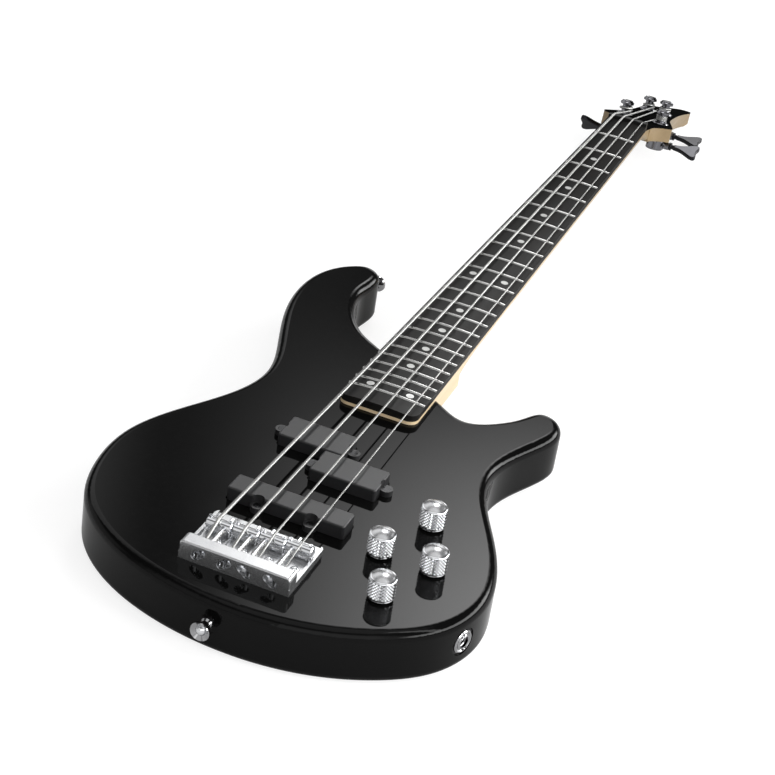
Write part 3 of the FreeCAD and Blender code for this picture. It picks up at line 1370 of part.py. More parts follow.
def make_knob(k):
    x, y = KNOB_PLACES[k]
    base = BODY_T + KNOB_GAP
    top = base + KNOB_HEIGHT
    shoulder = top - KNOB_DOME - KNOB_CHAMFER
    rim = KNOB_RADIUS - KNOB_CHAMFER
    ease = KNOB_BASE_CHAMFER
    side = Part.makePolygon([V(0, 0, top), V(0, 0, base), V(KNOB_RADIUS - ease, 0, base),
                             V(KNOB_RADIUS, 0, base + ease), V(KNOB_RADIUS, 0, shoulder),
                             V(rim, 0, shoulder + KNOB_CHAMFER)])
    dome = dome_arc(rim, top, KNOB_DOME)
    knob = Part.Face(Part.Wire(side.Edges + [dome])).revolve(V(0, 0, 0), Z_AXIS, 360)
    hollow = rod(V(0, 0, base), Z_AXIS, KNOB_HOLLOW_R, KNOB_HOLLOW_DEPTH)
    shaft_top = base + KNOB_BORE_DEPTH
    bore = rod(V(0, 0, base), Z_AXIS, POT_SHAFT_R + PILOT_GAP, KNOB_BORE_DEPTH + PILOT_GAP)
    knob = knob.cut([hollow, bore])
    shaft_bottom = CAVITY_TOP - POT_DEPTH / 2
    shaft = rod(V(0, 0, shaft_bottom), Z_AXIS, POT_SHAFT_R, shaft_top - shaft_bottom)
    for piece in (knob, shaft):
        piece.translate(V(x, y, 0))
    save("knob_" + KNOB_NAMES[k], knob, shaft)


def make_potentiometers():
    pots = []
    nuts = []
    for x, y in KNOB_PLACES:
        case = rod(V(x, y, CAVITY_TOP), -Z_AXIS, POT_RADIUS, POT_DEPTH)
        bushing = rod(V(x, y, CAVITY_TOP), Z_AXIS, POT_BUSHING_R, CAVITY_ROOF + POT_BUSHING_RISE)
        bore = rod(V(x, y, CAVITY_TOP - POT_DEPTH / 2 - 1), Z_AXIS, POT_SHAFT_R + RUNNING_CLEARANCE, BODY_T)
        pots.append(case.fuse(bushing).cut(bore))
        thread = rod(V(x, y, BODY_T), Z_AXIS, POT_BUSHING_R + PILOT_GAP, POT_BUSHING_RISE)
        washer = rod(V(x, y, BODY_T), Z_AXIS, POT_WASHER_R, POT_WASHER_T)
        nut = hexagon(V(x, y, BODY_T + POT_WASHER_T), Z_AXIS, POT_NUT_AF, POT_NUT_T)
        nuts.append(washer.cut(thread))
        nuts.append(nut.cut(thread))
    save("potentiometers", *pots)
    save("pot_nuts", *nuts)


def make_preamp_board():
    x, y = BATTERY_PLACE
    w, d, t = BOARD_SIZE
    cw, cd, ch = CHIP_SIZE
    z1 = CAVITY_TOP - BOARD_SEAT_GAP
    board = box(x - w / 2, x + w / 2, y - d / 2, y + d / 2, z1 - t, z1)
    chips = []
    for step in (-1, 0, 1):
        cy = y + step * CHIP_SPACING
        chips.append(box(x - cw / 2, x + cw / 2, cy - cd / 2, cy + cd / 2, z1 - t - ch, z1 - t))
    save("preamp_board", board.fuse(chips).removeSplitter())


def make_battery():
    x, y = BATTERY_PLACE
    w, d, h = BATTERY_SIZE
    z0 = COVER_T + BATTERY_SEAT_GAP
    case = rounded_plate(x, y, w, d, COVER_CORNER_R, z0, z0 + h)
    terminals = []
    for side in (-1, 1):
        spot = V(x + side * BATTERY_TERMINAL_SPACING / 2, y + d / 2, z0 + h / 2)
        terminals.append(rod(spot, Y_AXIS, BATTERY_TERMINAL_R, BATTERY_TERMINAL_H))
    save("battery", case.fuse(terminals))


def main():
    os.makedirs("parts", exist_ok=True)
    make_body()
    make_control_cover()
    make_neck_plate()
    make_strap_buttons()
    make_jack()
    make_neck()
    make_headstock_overlay()
    make_truss_rod()
    make_rod_cover()
    make_fingerboard()
    make_nut()
    make_tuner_fixtures()
    make_small_screws()
    springs = []
    for i in range(4):
        make_tuner_post(i)
        make_tuner_key(i)
        make_string(i)
        make_saddle(i)
        make_intonation_screw(i)
        springs.append(intonation_spring(i))
    save("intonation_springs", *springs)
    make_ball_ends()
    make_bridge()
    make_bridge_screws()
    make_pickups()
    for k in range(len(KNOB_PLACES)):
        make_knob(k)
    make_potentiometers()
    make_preamp_board()
    make_battery()


main()
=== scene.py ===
import math
import bmesh
import bpy
from mathutils import Matrix, Quaternion, Vector


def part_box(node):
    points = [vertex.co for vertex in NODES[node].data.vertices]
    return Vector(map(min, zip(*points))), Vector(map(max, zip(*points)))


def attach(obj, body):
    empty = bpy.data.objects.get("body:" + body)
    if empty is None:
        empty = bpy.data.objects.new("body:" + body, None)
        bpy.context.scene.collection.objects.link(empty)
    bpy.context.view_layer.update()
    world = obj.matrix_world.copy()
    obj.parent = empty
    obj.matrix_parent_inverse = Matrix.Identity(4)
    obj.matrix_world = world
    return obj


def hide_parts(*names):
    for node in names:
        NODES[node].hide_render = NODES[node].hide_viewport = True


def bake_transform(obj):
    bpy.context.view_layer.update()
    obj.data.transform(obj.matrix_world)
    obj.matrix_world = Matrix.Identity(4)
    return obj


# The looks of a four-string electric bass guitar, in metres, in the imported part's frame.
# +X points to the treble side, +Y to the headstock, +Z up from the body's flat back.

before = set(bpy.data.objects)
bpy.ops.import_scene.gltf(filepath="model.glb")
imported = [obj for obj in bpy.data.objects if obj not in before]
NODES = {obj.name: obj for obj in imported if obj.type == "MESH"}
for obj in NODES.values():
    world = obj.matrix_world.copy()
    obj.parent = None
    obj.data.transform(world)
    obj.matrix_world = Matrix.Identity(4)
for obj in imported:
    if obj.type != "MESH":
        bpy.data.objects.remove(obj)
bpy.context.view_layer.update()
MM = 0.001
UP = Vector((0, 0, 1))

# Camera, solved from the frets and the board's edges
CAMERA_AT = Vector((0.405326, -1.042672, 0.828757))
CAMERA_VIEW = Vector((-0.26466719, 0.82102665, -0.50583249))
CAMERA_RIGHT = Vector((0.91515495, 0.37922135, 0.13668426))
CAMERA_LENS = 93.79
CAMERA_SENSOR = 36.0
CAMERA_CLIP = (0.01, 50)

# Strings, in millimetres as in the part's source
STRING_NAMES = ["e", "a", "d", "g"]
STRING_DIAMETERS = [2.67, 2.16, 1.65, 1.14]
STRING_WRAPS = [0.62, 0.52, 0.42, 0.34]
SCALE = 863.6
BRIDGE_SPACING = 19.0
NUT_SPACING = 10.13
NUT_T = 5.0
BODY_T = 40.0
BOARD_TOP = 49.0
NECK_TOP = 42.5
BOARD_RADIUS = 305.0
STRING_RISE_AT_NUT = 1.8
STRING_GAP = 0.3
HEAD_ANGLE = 13.5
OVERLAY_T = 1.2
POST_PLACES = [(-18.0, 60.0), (-9.0, 132.0), (9.6, 132.0), (21.5, 60.0)]
POST_WAIST_R = 4.3
POST_WAIST_FROM = 3.4
WINDING_GAPS = [0.5, 0.5, 0.06, 0.06]
WINDING_QUARTERS = [5, 5, 9, 17]
SLOT_ENTRY = 60.0
STRING_SIDES = 14
NUT_BEND_R = 20.0
NUT_BEND_STEPS = 8
SADDLE_BEND_STEPS = 10
SADDLE_TRIES = 4
WINDING_STEPS = 9
SLOT_STEPS = 10

# Bridge
RECESS_FLOOR = -43.0
LIP_FRONT = -36.4
BALL_Z = 5.4
SADDLE_Y = [-11.0, -9.0, -7.2, -5.5]
SADDLE_AXIS_Z = 48.5
SADDLE_RADIUS = 4.25
SADDLE_SEAT = 3.4
SCREW_OFFSET = 4.4
SPRING_RADIUS = 1.9
SPRING_WIRE_R = 0.3
SPRING_CURLS = 7
SPRING_STEPS = 24
SPRING_SIDES = 8

# Knobs
KNOB_NAMES = ["volume", "blend", "treble", "bass"]
KNOB_PLACES = [(91, 80.5), (72.5, 30.5), (111, 31.5), (92, -15)]
KNOB_RADIUS = 9.5
KNOB_LIFT = 1.8
KNOB_HOLLOW_R = 7.4
KNOB_HOLLOW_DEPTH = 4.0
KNOB_BASE_CHAMFER = 0.6
KNOB_CHAMFER = 1.4
KNOB_DOME = 2.2
SHOULDER_ROWS = 5
DOME_ROWS = 8
DOME_TIP_R = 0.05
SHAFT_TIP_R = 0.3
KNURL_COUNT = 24
KNURL_DEPTH = 0.75
SHAFT_RADIUS = 3.0
KNOB_CREASE = 28

# Output jack and strap buttons: seats as packed, headings in degrees from +X, profiles as radius and height
JACK_SEAT = (148.7948, -2.7581, 20.0)
JACK_HEADING = -19.0
JACK_PROFILE = [
    (3.25, -24.0), (7.0, -24.0), (7.0, 0.0), (8.6, 0.0), (8.6, 0.9), (7.9, 1.6), (7.2, 1.6), (6.5, 0.7),
    (4.7, 0.7), (4.7, 1.8), (4.5, 2.0), (4.2, 2.0), (4.2, 0.0), (3.25, -0.4),
]
JACK_NUT_PROFILE = [(4.75, 0.7), (5.9, 0.7), (5.9, 1.3), (5.5, 1.8), (4.75, 1.8)]
END_BUTTON_SEAT = (-2.0, -77.8171, 20.0)
END_BUTTON_HEADING = -90.0
HORN_BUTTON_SEAT = (-93.3332, 415.6749, 22.0)
HORN_BUTTON_HEADING = 75.0
BUTTON_PROFILE = [
    (2.05, 0.0), (4.4, 0.0), (3.4, 1.6), (3.4, 5.7), (7.0, 8.1), (7.0, 9.9), (6.6, 10.5), (3.65, 8.9),
    (3.65, 8.7), (2.05, 8.7),
]
TURNED_SIDES = 56
TURNED_CREASE = 25

# Floor: the lines, as Y and Z, on which the body's end and the head's tip rest
FLOOR_TOUCH_BUTT = (-70.0, 0.0)
FLOOR_TOUCH_HEAD = (1000.0, -15.2)
FLOOR_SIZE = 9.0
FLOOR_DROP = 0.0004
FLOOR_GLOW = 0.78
FLOOR_FAINT = 0.30
FLOOR_WHITE_SHARE = 0.3

# Studio panels: from and to, each as compass angle clockwise from +Y and height, soft edges of both, strength
TOP_FACE_PANEL = ((-17, 0.545), (-3, 0.77), (8, 0.08), 11.0)
OVERHEAD_PANEL = ((-400, 0.90), (400, 2.0), (14, 0.05), 0.9)
LEFT_AHEAD_EDGE_PANEL = ((-70, 0.40), (-19, 0.80), (2.2, 0.08), 0.12)
LEFT_AHEAD_PANEL = ((-70, 0.40), (-27, 0.80), (2.0, 0.08), 1.0)
LOW_AHEAD_PANEL = ((-16, 0.08), (-2, 0.27), (5, 0.06), 2.4)
RIGHT_BEHIND_PANEL = ((125, 0.12), (400, 0.72), (14, 0.12), 1.5)
LEFT_BEHIND_PANEL = ((-400, 0.12), (-125, 0.72), (14, 0.12), 0.7)
RIGHT_STRIP_PANEL = ((24, 0.24), (120, 0.50), (8, 0.06), 11.0)
LEFT_PANEL = ((-112, 0.05), (-70, 0.5), (8, 0.1), 0.5)
PANELS = [TOP_FACE_PANEL, OVERHEAD_PANEL, LEFT_AHEAD_EDGE_PANEL, LEFT_AHEAD_PANEL, LOW_AHEAD_PANEL,
          RIGHT_BEHIND_PANEL, LEFT_BEHIND_PANEL, RIGHT_STRIP_PANEL, LEFT_PANEL]
AMBIENT = 0.06
HORIZON_TOP = 0.1
HORIZON_FULL = 0.02

# Lamp
KEY_AT = (1.23, 0.0, 1.39)
KEY_AIM = (0.05, 0.25, 0)
KEY_SIZE = (0.25, 1.6)
KEY_WATTS = 7


# Material helpers


def new_material(name, slot_values):
    material = bpy.data.materials.new(name)
    material.use_nodes = True
    shader = material.node_tree.nodes["Principled BSDF"]
    for socket, value in slot_values.items():
        shader.inputs[socket].default_value = value
    return material


def link(material, source, socket):
    shader = material.node_tree.nodes["Principled BSDF"]
    material.node_tree.links.new(source, shader.inputs[socket])


def node(tree, kind, inputs=None, **settings):
    made = tree.nodes.new(kind)
    for name, value in settings.items():
        setattr(made, name, value)
    for name, value in (inputs or {}).items():
        if isinstance(value, bpy.types.NodeSocket):
            tree.links.new(value, made.inputs[name])
        else:
            made.inputs[name].default_value = value
    return made


def object_coords(tree, scale):
    coords = node(tree, "ShaderNodeTexCoord")
    mapping = node(tree, "ShaderNodeMapping", {"Vector": coords.outputs["Object"], "Scale": scale})
    return mapping.outputs["Vector"]


def noise(tree, coords, scale, detail=4.0, roughness=0.5):
    made = node(tree, "ShaderNodeTexNoise", {"Vector": coords, "Scale": scale, "Detail": detail,
                                             "Roughness": roughness})
    return made.outputs["Fac"]


def spread(tree, value, low, high, from_low=0.3, from_high=0.7):
    made = node(tree, "ShaderNodeMapRange", {"Value": value, "From Min": from_low, "From Max": from_high,
                                             "To Min": low, "To Max": high})
    return made.outputs["Result"]


def ramp(tree, value, stops):
    made = node(tree, "ShaderNodeValToRGB", {"Fac": value})
    elements = made.color_ramp.elements
    while len(elements) < len(stops):
        elements.new(0.5)
    for element, (place, colour) in zip(elements, stops):
        element.position = place
        element.color = (*colour, 1)
    return made.outputs["Color"]


def along_neck(tree):
    places = node(tree, "ShaderNodeSeparateXYZ", {0: object_coords(tree, (1, 1, 1))})
    return places.outputs["Y"]


def maths(tree, operation, a, b):
    return node(tree, "ShaderNodeMath", {0: a, 1: b}, operation=operation).outputs[0]


def bump(tree, height, strength, distance):
    made = node(tree, "ShaderNodeBump", {"Height": height, "Strength": strength, "Distance": distance})
    return made.outputs["Normal"]


# Materials


def gloss_black(name, low, high, rough, settings):
    material = new_material(name, settings)
    tree = material.node_tree
    coords = object_coords(tree, (1, 1, 1))
    cloud = noise(tree, coords, 9)
    fine = noise(tree, coords, 240, 6)
    link(material, ramp(tree, cloud, [(0.3, (low, low, low)), (0.7, (high, high, high))]), "Base Color")
    link(material, spread(tree, fine, rough * 0.6, rough * 1.5), "Roughness")
    link(material, bump(tree, noise(tree, coords, 900, 2), 0.02, 0.0001), "Normal")
    return material


def metal(name, colour, rough_low, rough_high, relief=0.01, metallic=1.0):
    material = new_material(name, {"Metallic": metallic})
    tree = material.node_tree
    coords = object_coords(tree, (1, 1, 1))
    cloud = noise(tree, coords, 35)
    fine = noise(tree, coords, 160, 6)
    dark = [c * 0.94 for c in colour]
    link(material, ramp(tree, cloud, [(0.3, dark), (0.7, colour)]), "Base Color")
    link(material, spread(tree, fine, rough_low, rough_high), "Roughness")
    link(material, bump(tree, noise(tree, coords, 1200, 3), relief, 0.0001), "Normal")
    return material


def plastic(name, low, high, rough_low, rough_high, relief, specular=0.5):
    material = new_material(name, {"IOR": 1.48, "Specular IOR Level": specular})
    tree = material.node_tree
    coords = object_coords(tree, (1, 1, 1))
    cloud = noise(tree, coords, 60)
    fine = noise(tree, coords, 1800, 3)
    link(material, ramp(tree, cloud, [(0.3, low), (0.7, high)]), "Base Color")
    link(material, spread(tree, fine, rough_low, rough_high), "Roughness")
    link(material, bump(tree, fine, relief, 0.0002), "Normal")
    return material


def maple(name):
    material = new_material(name, {"IOR": 1.5, "Coat Weight": 0.3, "Coat Roughness": 0.18})
    tree = material.node_tree
    coords = object_coords(tree, (1, 0.05, 1))
    rings = noise(tree, coords, 90, 5)
    pores = noise(tree, object_coords(tree, (1, 0.02, 1)), 1400, 3)
    # Painted shade: the maple is mixed from its pale tone to a much darker tan copy toward the head, standing
    # in for the light falling off there
    pale = ramp(tree, rings, [(0.25, (0.70, 0.53, 0.32)), (0.75, (0.78, 0.63, 0.42))])
    tan = ramp(tree, rings, [(0.25, (0.20, 0.135, 0.062)), (0.75, (0.265, 0.19, 0.097))])
    painted_head_shade = spread(tree, along_neck(tree), 0, 1, 0.42, 0.92)
    # Sockets 0, 6 and 7 and output 2 are the factor and the colours
    colour = node(tree, "ShaderNodeMix", {0: painted_head_shade, 6: pale, 7: tan}, data_type="RGBA")
    link(material, colour.outputs[2], "Base Color")
    link(material, spread(tree, pores, 0.28, 0.46), "Roughness")
    link(material, bump(tree, pores, 0.08, 0.0002), "Normal")
    return material


def dark_board(name):
    material = new_material(name, {"IOR": 1.5})
    tree = material.node_tree
    streaks = noise(tree, object_coords(tree, (1, 0.03, 1)), 160, 5)
    pores = noise(tree, object_coords(tree, (1, 0.06, 1)), 2200, 2)
    colour = ramp(tree, streaks, [(0.3, (0.007, 0.0068, 0.0066)), (0.6, (0.012, 0.0112, 0.0106)),
                                  (0.8, (0.019, 0.0165, 0.015))])
    link(material, colour, "Base Color")
    # The sheen falls off toward the nut
    link(material, spread(tree, along_neck(tree), 0.13, 0.02, 0.36, 0.70), "Specular IOR Level")
    link(material, spread(tree, streaks, 0.34, 0.5), "Roughness")
    link(material, bump(tree, pores, 0.18, 0.0002), "Normal")
    return material


def pearl(name):
    material = new_material(name, {"IOR": 1.55})
    tree = material.node_tree
    swirl = noise(tree, object_coords(tree, (1, 1, 1)), 420, 5, 0.65)
    colour = ramp(tree, swirl, [(0.3, (0.54, 0.54, 0.53)), (0.7, (0.68, 0.68, 0.67))])
    link(material, colour, "Base Color")
    link(material, spread(tree, swirl, 0.14, 0.24), "Roughness")
    return material


def wound_steel(name, wrap):
    # Wrap wire lines across the string, from the length along it that the mesh carries
    material = new_material(name, {"Metallic": 1.0})
    tree = material.node_tree
    along = node(tree, "ShaderNodeAttribute", attribute_name="along").outputs["Fac"]
    turns = maths(tree, "MULTIPLY", along, 2 * math.pi / wrap)
    wave = node(tree, "ShaderNodeMath", {0: turns}, operation="SINE").outputs[0]
    cloud = noise(tree, object_coords(tree, (1, 1, 1)), 70)
    link(material, ramp(tree, cloud, [(0.3, (0.38, 0.38, 0.37)), (0.7, (0.45, 0.45, 0.44))]), "Base Color")
    link(material, spread(tree, wave, 0.34, 0.24, -1, 1), "Roughness")
    link(material, bump(tree, wave, 0.35, 0.0001), "Normal")
    return material


# Mesh helpers


def new_object(name, bm, material):
    mesh = bpy.data.meshes.new(name)
    bm.to_mesh(mesh)
    bm.free()
    mesh.materials.append(material)
    obj = bpy.data.objects.new(name, mesh)
    bpy.context.scene.collection.objects.link(obj)
    return obj


def to_object(name, bm, material, body):
    obj = new_object(name, bm, material)
    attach(obj, body)
    return obj


def skin_rings(bm, rings):
    # Smooth faces between the rings, and a flat face at each end
    for low, high in zip(rings, rings[1:]):
        for k in range(len(low)):
            m = (k + 1) % len(low)
            bm.faces.new((low[k], low[m], high[m], high[k])).smooth = True
    bm.faces.new(list(reversed(rings[0])))
    bm.faces.new(rings[-1])


def tube(bm, points, radius, sides, run_layer):
    # A round tube along the points, in millimetres, with frames carried along without twist
    heading = (points[1] - points[0]).normalized()
    side = heading.orthogonal().normalized()
    rings = []
    run = 0.0
    for k, point in enumerate(points):
        before = points[max(k - 1, 0)]
        after = points[min(k + 1, len(points) - 1)]
        tangent = (after - before).normalized()
        side = heading.rotation_difference(tangent) @ side
        heading = tangent
        other = heading.cross(side)
        if k:
            run += (point - before).length
        ring = []
        for m in range(sides):
            angle = 2 * math.pi * m / sides
            out = side * math.cos(angle) + other * math.sin(angle)
            vert = bm.verts.new((point + out * radius) * MM)
            vert[run_layer] = run
            ring.append(vert)
        rings.append(ring)
    skin_rings(bm, rings)


def round_corner(before, corner, after, radius, steps):
    # Points of an arc of the given radius that rounds the corner
    d1 = (corner - before).normalized()
    d2 = (after - corner).normalized()
    turn = d1.angle(d2)
    reach = radius * math.tan(turn / 2)
    start = corner - d1 * reach
    axis = d1.cross(d2).normalized()
    centre = start + axis.cross(d1) * radius
    points = []
    for k in range(steps + 1):
        points.append(centre + Quaternion(axis, turn * k / steps) @ (start - centre))
    return points


def curve_between(p1, t1, p2, t2, steps):
    # A smooth curve between two points with the directions given there
    reach = (p2 - p1).length
    points = []
    for k in range(1, steps + 1):
        t = k / steps
        h1 = 2 * t ** 3 - 3 * t ** 2 + 1
        h2 = t ** 3 - 2 * t ** 2 + t
        h3 = -2 * t ** 3 + 3 * t ** 2
        h4 = t ** 3 - t ** 2
        points.append(p1 * h1 + t1 * (h2 * reach) + p2 * h3 + t2 * (h4 * reach))
    return points


# Strings and springs


HEAD = Matrix.Translation((0, SCALE + NUT_T, NECK_TOP)) @ Matrix.Rotation(math.radians(-HEAD_ANGLE), 4, "X")


def string_x(i, spacing):
    return (i - (len(STRING_NAMES) - 1) / 2) * spacing


def centre_side(i):
    # The side of the string that faces the neck's middle
    return 1 if i < 2 else -1


def screw_x(i):
    return string_x(i, BRIDGE_SPACING) + centre_side(i) * SCREW_OFFSET


def nut_corner(i):
    x = string_x(i, NUT_SPACING)
    board = BOARD_TOP - BOARD_RADIUS + math.sqrt(BOARD_RADIUS ** 2 - x * x)
    return Vector((x, SCALE + NUT_T / 2, board + STRING_RISE_AT_NUT + STRING_DIAMETERS[i] / 2))


def winding(i):
    # Turns round the post and the way into its slot, in the headstock's own plane
    turn = centre_side(i)
    thick = STRING_DIAMETERS[i]
    place = Vector((*POST_PLACES[i], 0))
    radius = POST_WAIST_R + STRING_GAP + thick / 2
    pitch = thick + WINDING_GAPS[i]
    quarters = WINDING_QUARTERS[i]
    low = OVERLAY_T + POST_WAIST_FROM + STRING_GAP + thick / 2
    nut = HEAD.inverted() @ nut_corner(i)
    away = Vector((nut.x - place.x, nut.y - place.y))
    first = math.atan2(away.y, away.x) + turn * math.acos(radius / away.length)
    steps = WINDING_STEPS * quarters
    points = []
    for k in range(steps + 1):
        share = k / steps
        angle = first + turn * math.pi / 2 * quarters * share
        rise = low + pitch * quarters / 4 * share
        points.append(place + Vector((radius * math.cos(angle), radius * math.sin(angle), rise)))
    entry = first + turn * (math.pi / 2 * quarters + math.radians(SLOT_ENTRY))
    inward = Vector((-math.cos(entry), -math.sin(entry), 0))
    inside = place + UP * (low + pitch * quarters / 4) - inward * (thick / 2)
    heading = (points[-1] - points[-2]).normalized()
    points.extend(curve_between(points[-1], heading, inside, inward, SLOT_STEPS))
    points.append(inside + inward * thick)
    return [HEAD @ p for p in points]


def string_points(i):
    # The way from the ball end over the saddle, and the way from there over the nut and round the post
    x = string_x(i, BRIDGE_SPACING)
    ball = Vector((x, RECESS_FLOOR, BODY_T + BALL_Z))
    nut = nut_corner(i)
    axis = Vector((x, SADDLE_Y[i], SADDLE_AXIS_Z))
    radius = SADDLE_RADIUS + STRING_GAP + STRING_DIAMETERS[i] / 2
    saddle = axis + UP * radius
    for step in range(SADDLE_TRIES):
        d1 = (saddle - ball).normalized()
        d2 = (nut - saddle).normalized()
        saddle = axis + (d1 - d2).normalized() * (radius / math.cos(d1.angle(d2) / 2))
    wound = winding(i)
    over_saddle = round_corner(ball, saddle, nut, radius, SADDLE_BEND_STEPS)
    over_nut = round_corner(saddle, nut, wound[0], NUT_BEND_R, NUT_BEND_STEPS)
    return [ball] + over_saddle, over_saddle[-1:] + over_nut + wound


def bent_tube(name, points, radius, sides, material):
    # A round tube along the points, as an object of its own
    bm = bmesh.new()
    tube(bm, points, radius, sides, bm.verts.layers.float.new("along"))
    obj = new_object(name, bm, material)
    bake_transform(obj)
    return obj


def make_string(i):
    # Two pieces that meet on the saddle
    name = "string_" + STRING_NAMES[i]
    material = wound_steel("wrap_" + STRING_NAMES[i], STRING_WRAPS[i])
    radius = STRING_DIAMETERS[i] / 2
    tail, run = string_points(i)
    behind = bent_tube(name + "_behind_saddle", tail, radius, STRING_SIDES, material)
    ahead = bent_tube(name + "_over_neck", run, radius, STRING_SIDES, material)
    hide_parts(name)
    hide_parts(name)


def make_spring(i, material):
    end = SADDLE_Y[i] - SADDLE_SEAT - STRING_GAP
    wire = 2 * SPRING_WIRE_R
    centre = Vector((screw_x(i), 0, SADDLE_AXIS_Z))
    steps = SPRING_STEPS * SPRING_CURLS
    span = end - LIP_FRONT - 2 * wire
    points = []
    for k in range(steps + 1):
        angle = 2 * math.pi * SPRING_CURLS * k / steps
        out = Vector((math.cos(angle), 0, math.sin(angle)))
        points.append(centre + out * SPRING_RADIUS + Vector((0, LIP_FRONT + wire + span * k / steps, 0)))
    obj = bent_tube("spring_" + STRING_NAMES[i], points, SPRING_WIRE_R, SPRING_SIDES, material)
    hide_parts("intonation_springs")


# Knobs


def knob_profile(bottom, base, top):
    # Radius, height and knurl row, from the shaft's foot to the middle of the dome
    ceiling = base + KNOB_HOLLOW_DEPTH
    rows = [(SHAFT_TIP_R, bottom, None), (SHAFT_RADIUS, bottom, None), (SHAFT_RADIUS, ceiling, None),
            (KNOB_HOLLOW_R, ceiling, None), (KNOB_HOLLOW_R, base, None),
            (KNOB_RADIUS - KNOB_BASE_CHAMFER, base, None)]
    knurl_from = base + KNOB_BASE_CHAMFER
    shoulder = top - KNOB_DOME - KNOB_CHAMFER
    count = round((shoulder - knurl_from) / (math.pi * KNOB_RADIUS / KNURL_COUNT))
    for k in range(count + 1):
        rows.append((KNOB_RADIUS, knurl_from + (shoulder - knurl_from) * k / count, k))
    for k in range(1, SHOULDER_ROWS + 1):
        turn = math.pi / 2 * k / SHOULDER_ROWS
        inward = KNOB_CHAMFER * (1 - math.cos(turn))
        rows.append((KNOB_RADIUS - inward, shoulder + KNOB_CHAMFER * math.sin(turn), None))
    rim = KNOB_RADIUS - KNOB_CHAMFER
    ball = (rim * rim + KNOB_DOME * KNOB_DOME) / (2 * KNOB_DOME)
    for k in range(1, DOME_ROWS + 1):
        r = rim * (1 - k / DOME_ROWS) + DOME_TIP_R
        rows.append((r, top - ball + math.sqrt(ball * ball - r * r), None))
    return rows


def skin_knob(bm, rings, marks, dome_from):
    # Pyramids between crossing grooves: each square of the knurl is split along its groove
    for k, (low, high, row, above) in enumerate(zip(rings, rings[1:], marks, marks[1:])):
        for m in range(len(low)):
            n = (m + 1) % len(low)
            if row is None or above is None:
                face = bm.faces.new((low[m], low[n], high[n], high[m]))
                face.smooth = True
                face.material_index = 1 if k >= dome_from else 0
            elif (m + row) % 2 == 0:
                bm.faces.new((low[m], low[n], high[n]))
                bm.faces.new((low[m], high[n], high[m]))
            else:
                bm.faces.new((low[m], low[n], high[m]))
                bm.faces.new((low[n], high[n], high[m]))
    bm.faces.new(list(reversed(rings[0])))
    bm.faces.new(rings[-1]).material_index = 1


def make_knob(k, side_finish, dome_finish):
    name = "knob_" + KNOB_NAMES[k]
    x, y = KNOB_PLACES[k]
    low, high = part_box(name)
    rows = knob_profile(low.z / MM, BODY_T + KNOB_LIFT, high.z / MM)
    marks = [row for radius, height, row in rows]
    last = max(row for row in marks if row is not None)
    count = 2 * KNURL_COUNT
    bm = bmesh.new()
    rings = []
    for radius, height, row in rows:
        ring = []
        for m in range(count):
            angle = 2 * math.pi * m / count
            groove = row is not None and ((m + row) % 2 == 0 or row in (0, last))
            r = radius - (KNURL_DEPTH if groove else 0)
            place = Vector((x + r * math.cos(angle), y + r * math.sin(angle), height))
            ring.append(bm.verts.new(place * MM))
        rings.append(ring)
    skin_knob(bm, rings, marks, len(rows) - DOME_ROWS - 1)
    obj = to_object("knurled_" + name, bm, side_finish, name)
    obj.data.materials.append(dome_finish)
    obj.data.set_sharp_from_angle(angle=math.radians(KNOB_CREASE))
    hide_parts(name)


# Jack and strap buttons


def turned_ring(name, profile, seat, heading, finish, replaced):
    # A closed profile turned about the seat's heading
    foot = Vector(seat)
    axis = Vector((math.cos(math.radians(heading)), math.sin(math.radians(heading)), 0))
    side = axis.orthogonal().normalized()
    bm = bmesh.new()
    rings = []
    for radius, height in profile:
        ring = []
        for m in range(TURNED_SIDES):
            out = Quaternion(axis, 2 * math.pi * m / TURNED_SIDES) @ side
            ring.append(bm.verts.new((foot + axis * height + out * radius) * MM))
        rings.append(ring)
    for low, high in zip(rings, rings[1:] + rings[:1]):
        for m in range(TURNED_SIDES):
            n = (m + 1) % TURNED_SIDES
            bm.faces.new((low[m], low[n], high[n], high[m])).smooth = True
    bmesh.ops.recalc_face_normals(bm, faces=bm.faces)
    obj = to_object(name, bm, finish, "instrument")
    obj.data.set_sharp_from_angle(angle=math.radians(TURNED_CREASE))
    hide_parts(replaced)


def make_turned_pieces():
    finish = metal("turned_chrome", (0.42, 0.42, 0.43), 0.05, 0.08)
    turned_ring("turned_jack", JACK_PROFILE, JACK_SEAT, JACK_HEADING, finish, "output_jack")
    turned_ring("turned_jack_nut", JACK_NUT_PROFILE, JACK_SEAT, JACK_HEADING, finish, "jack_nut")
    turned_ring("turned_strap_button_end", BUTTON_PROFILE, END_BUTTON_SEAT, END_BUTTON_HEADING, finish,
                "strap_buttons")
    turned_ring("turned_strap_button_horn", BUTTON_PROFILE, HORN_BUTTON_SEAT, HORN_BUTTON_HEADING, finish,
                "strap_buttons")


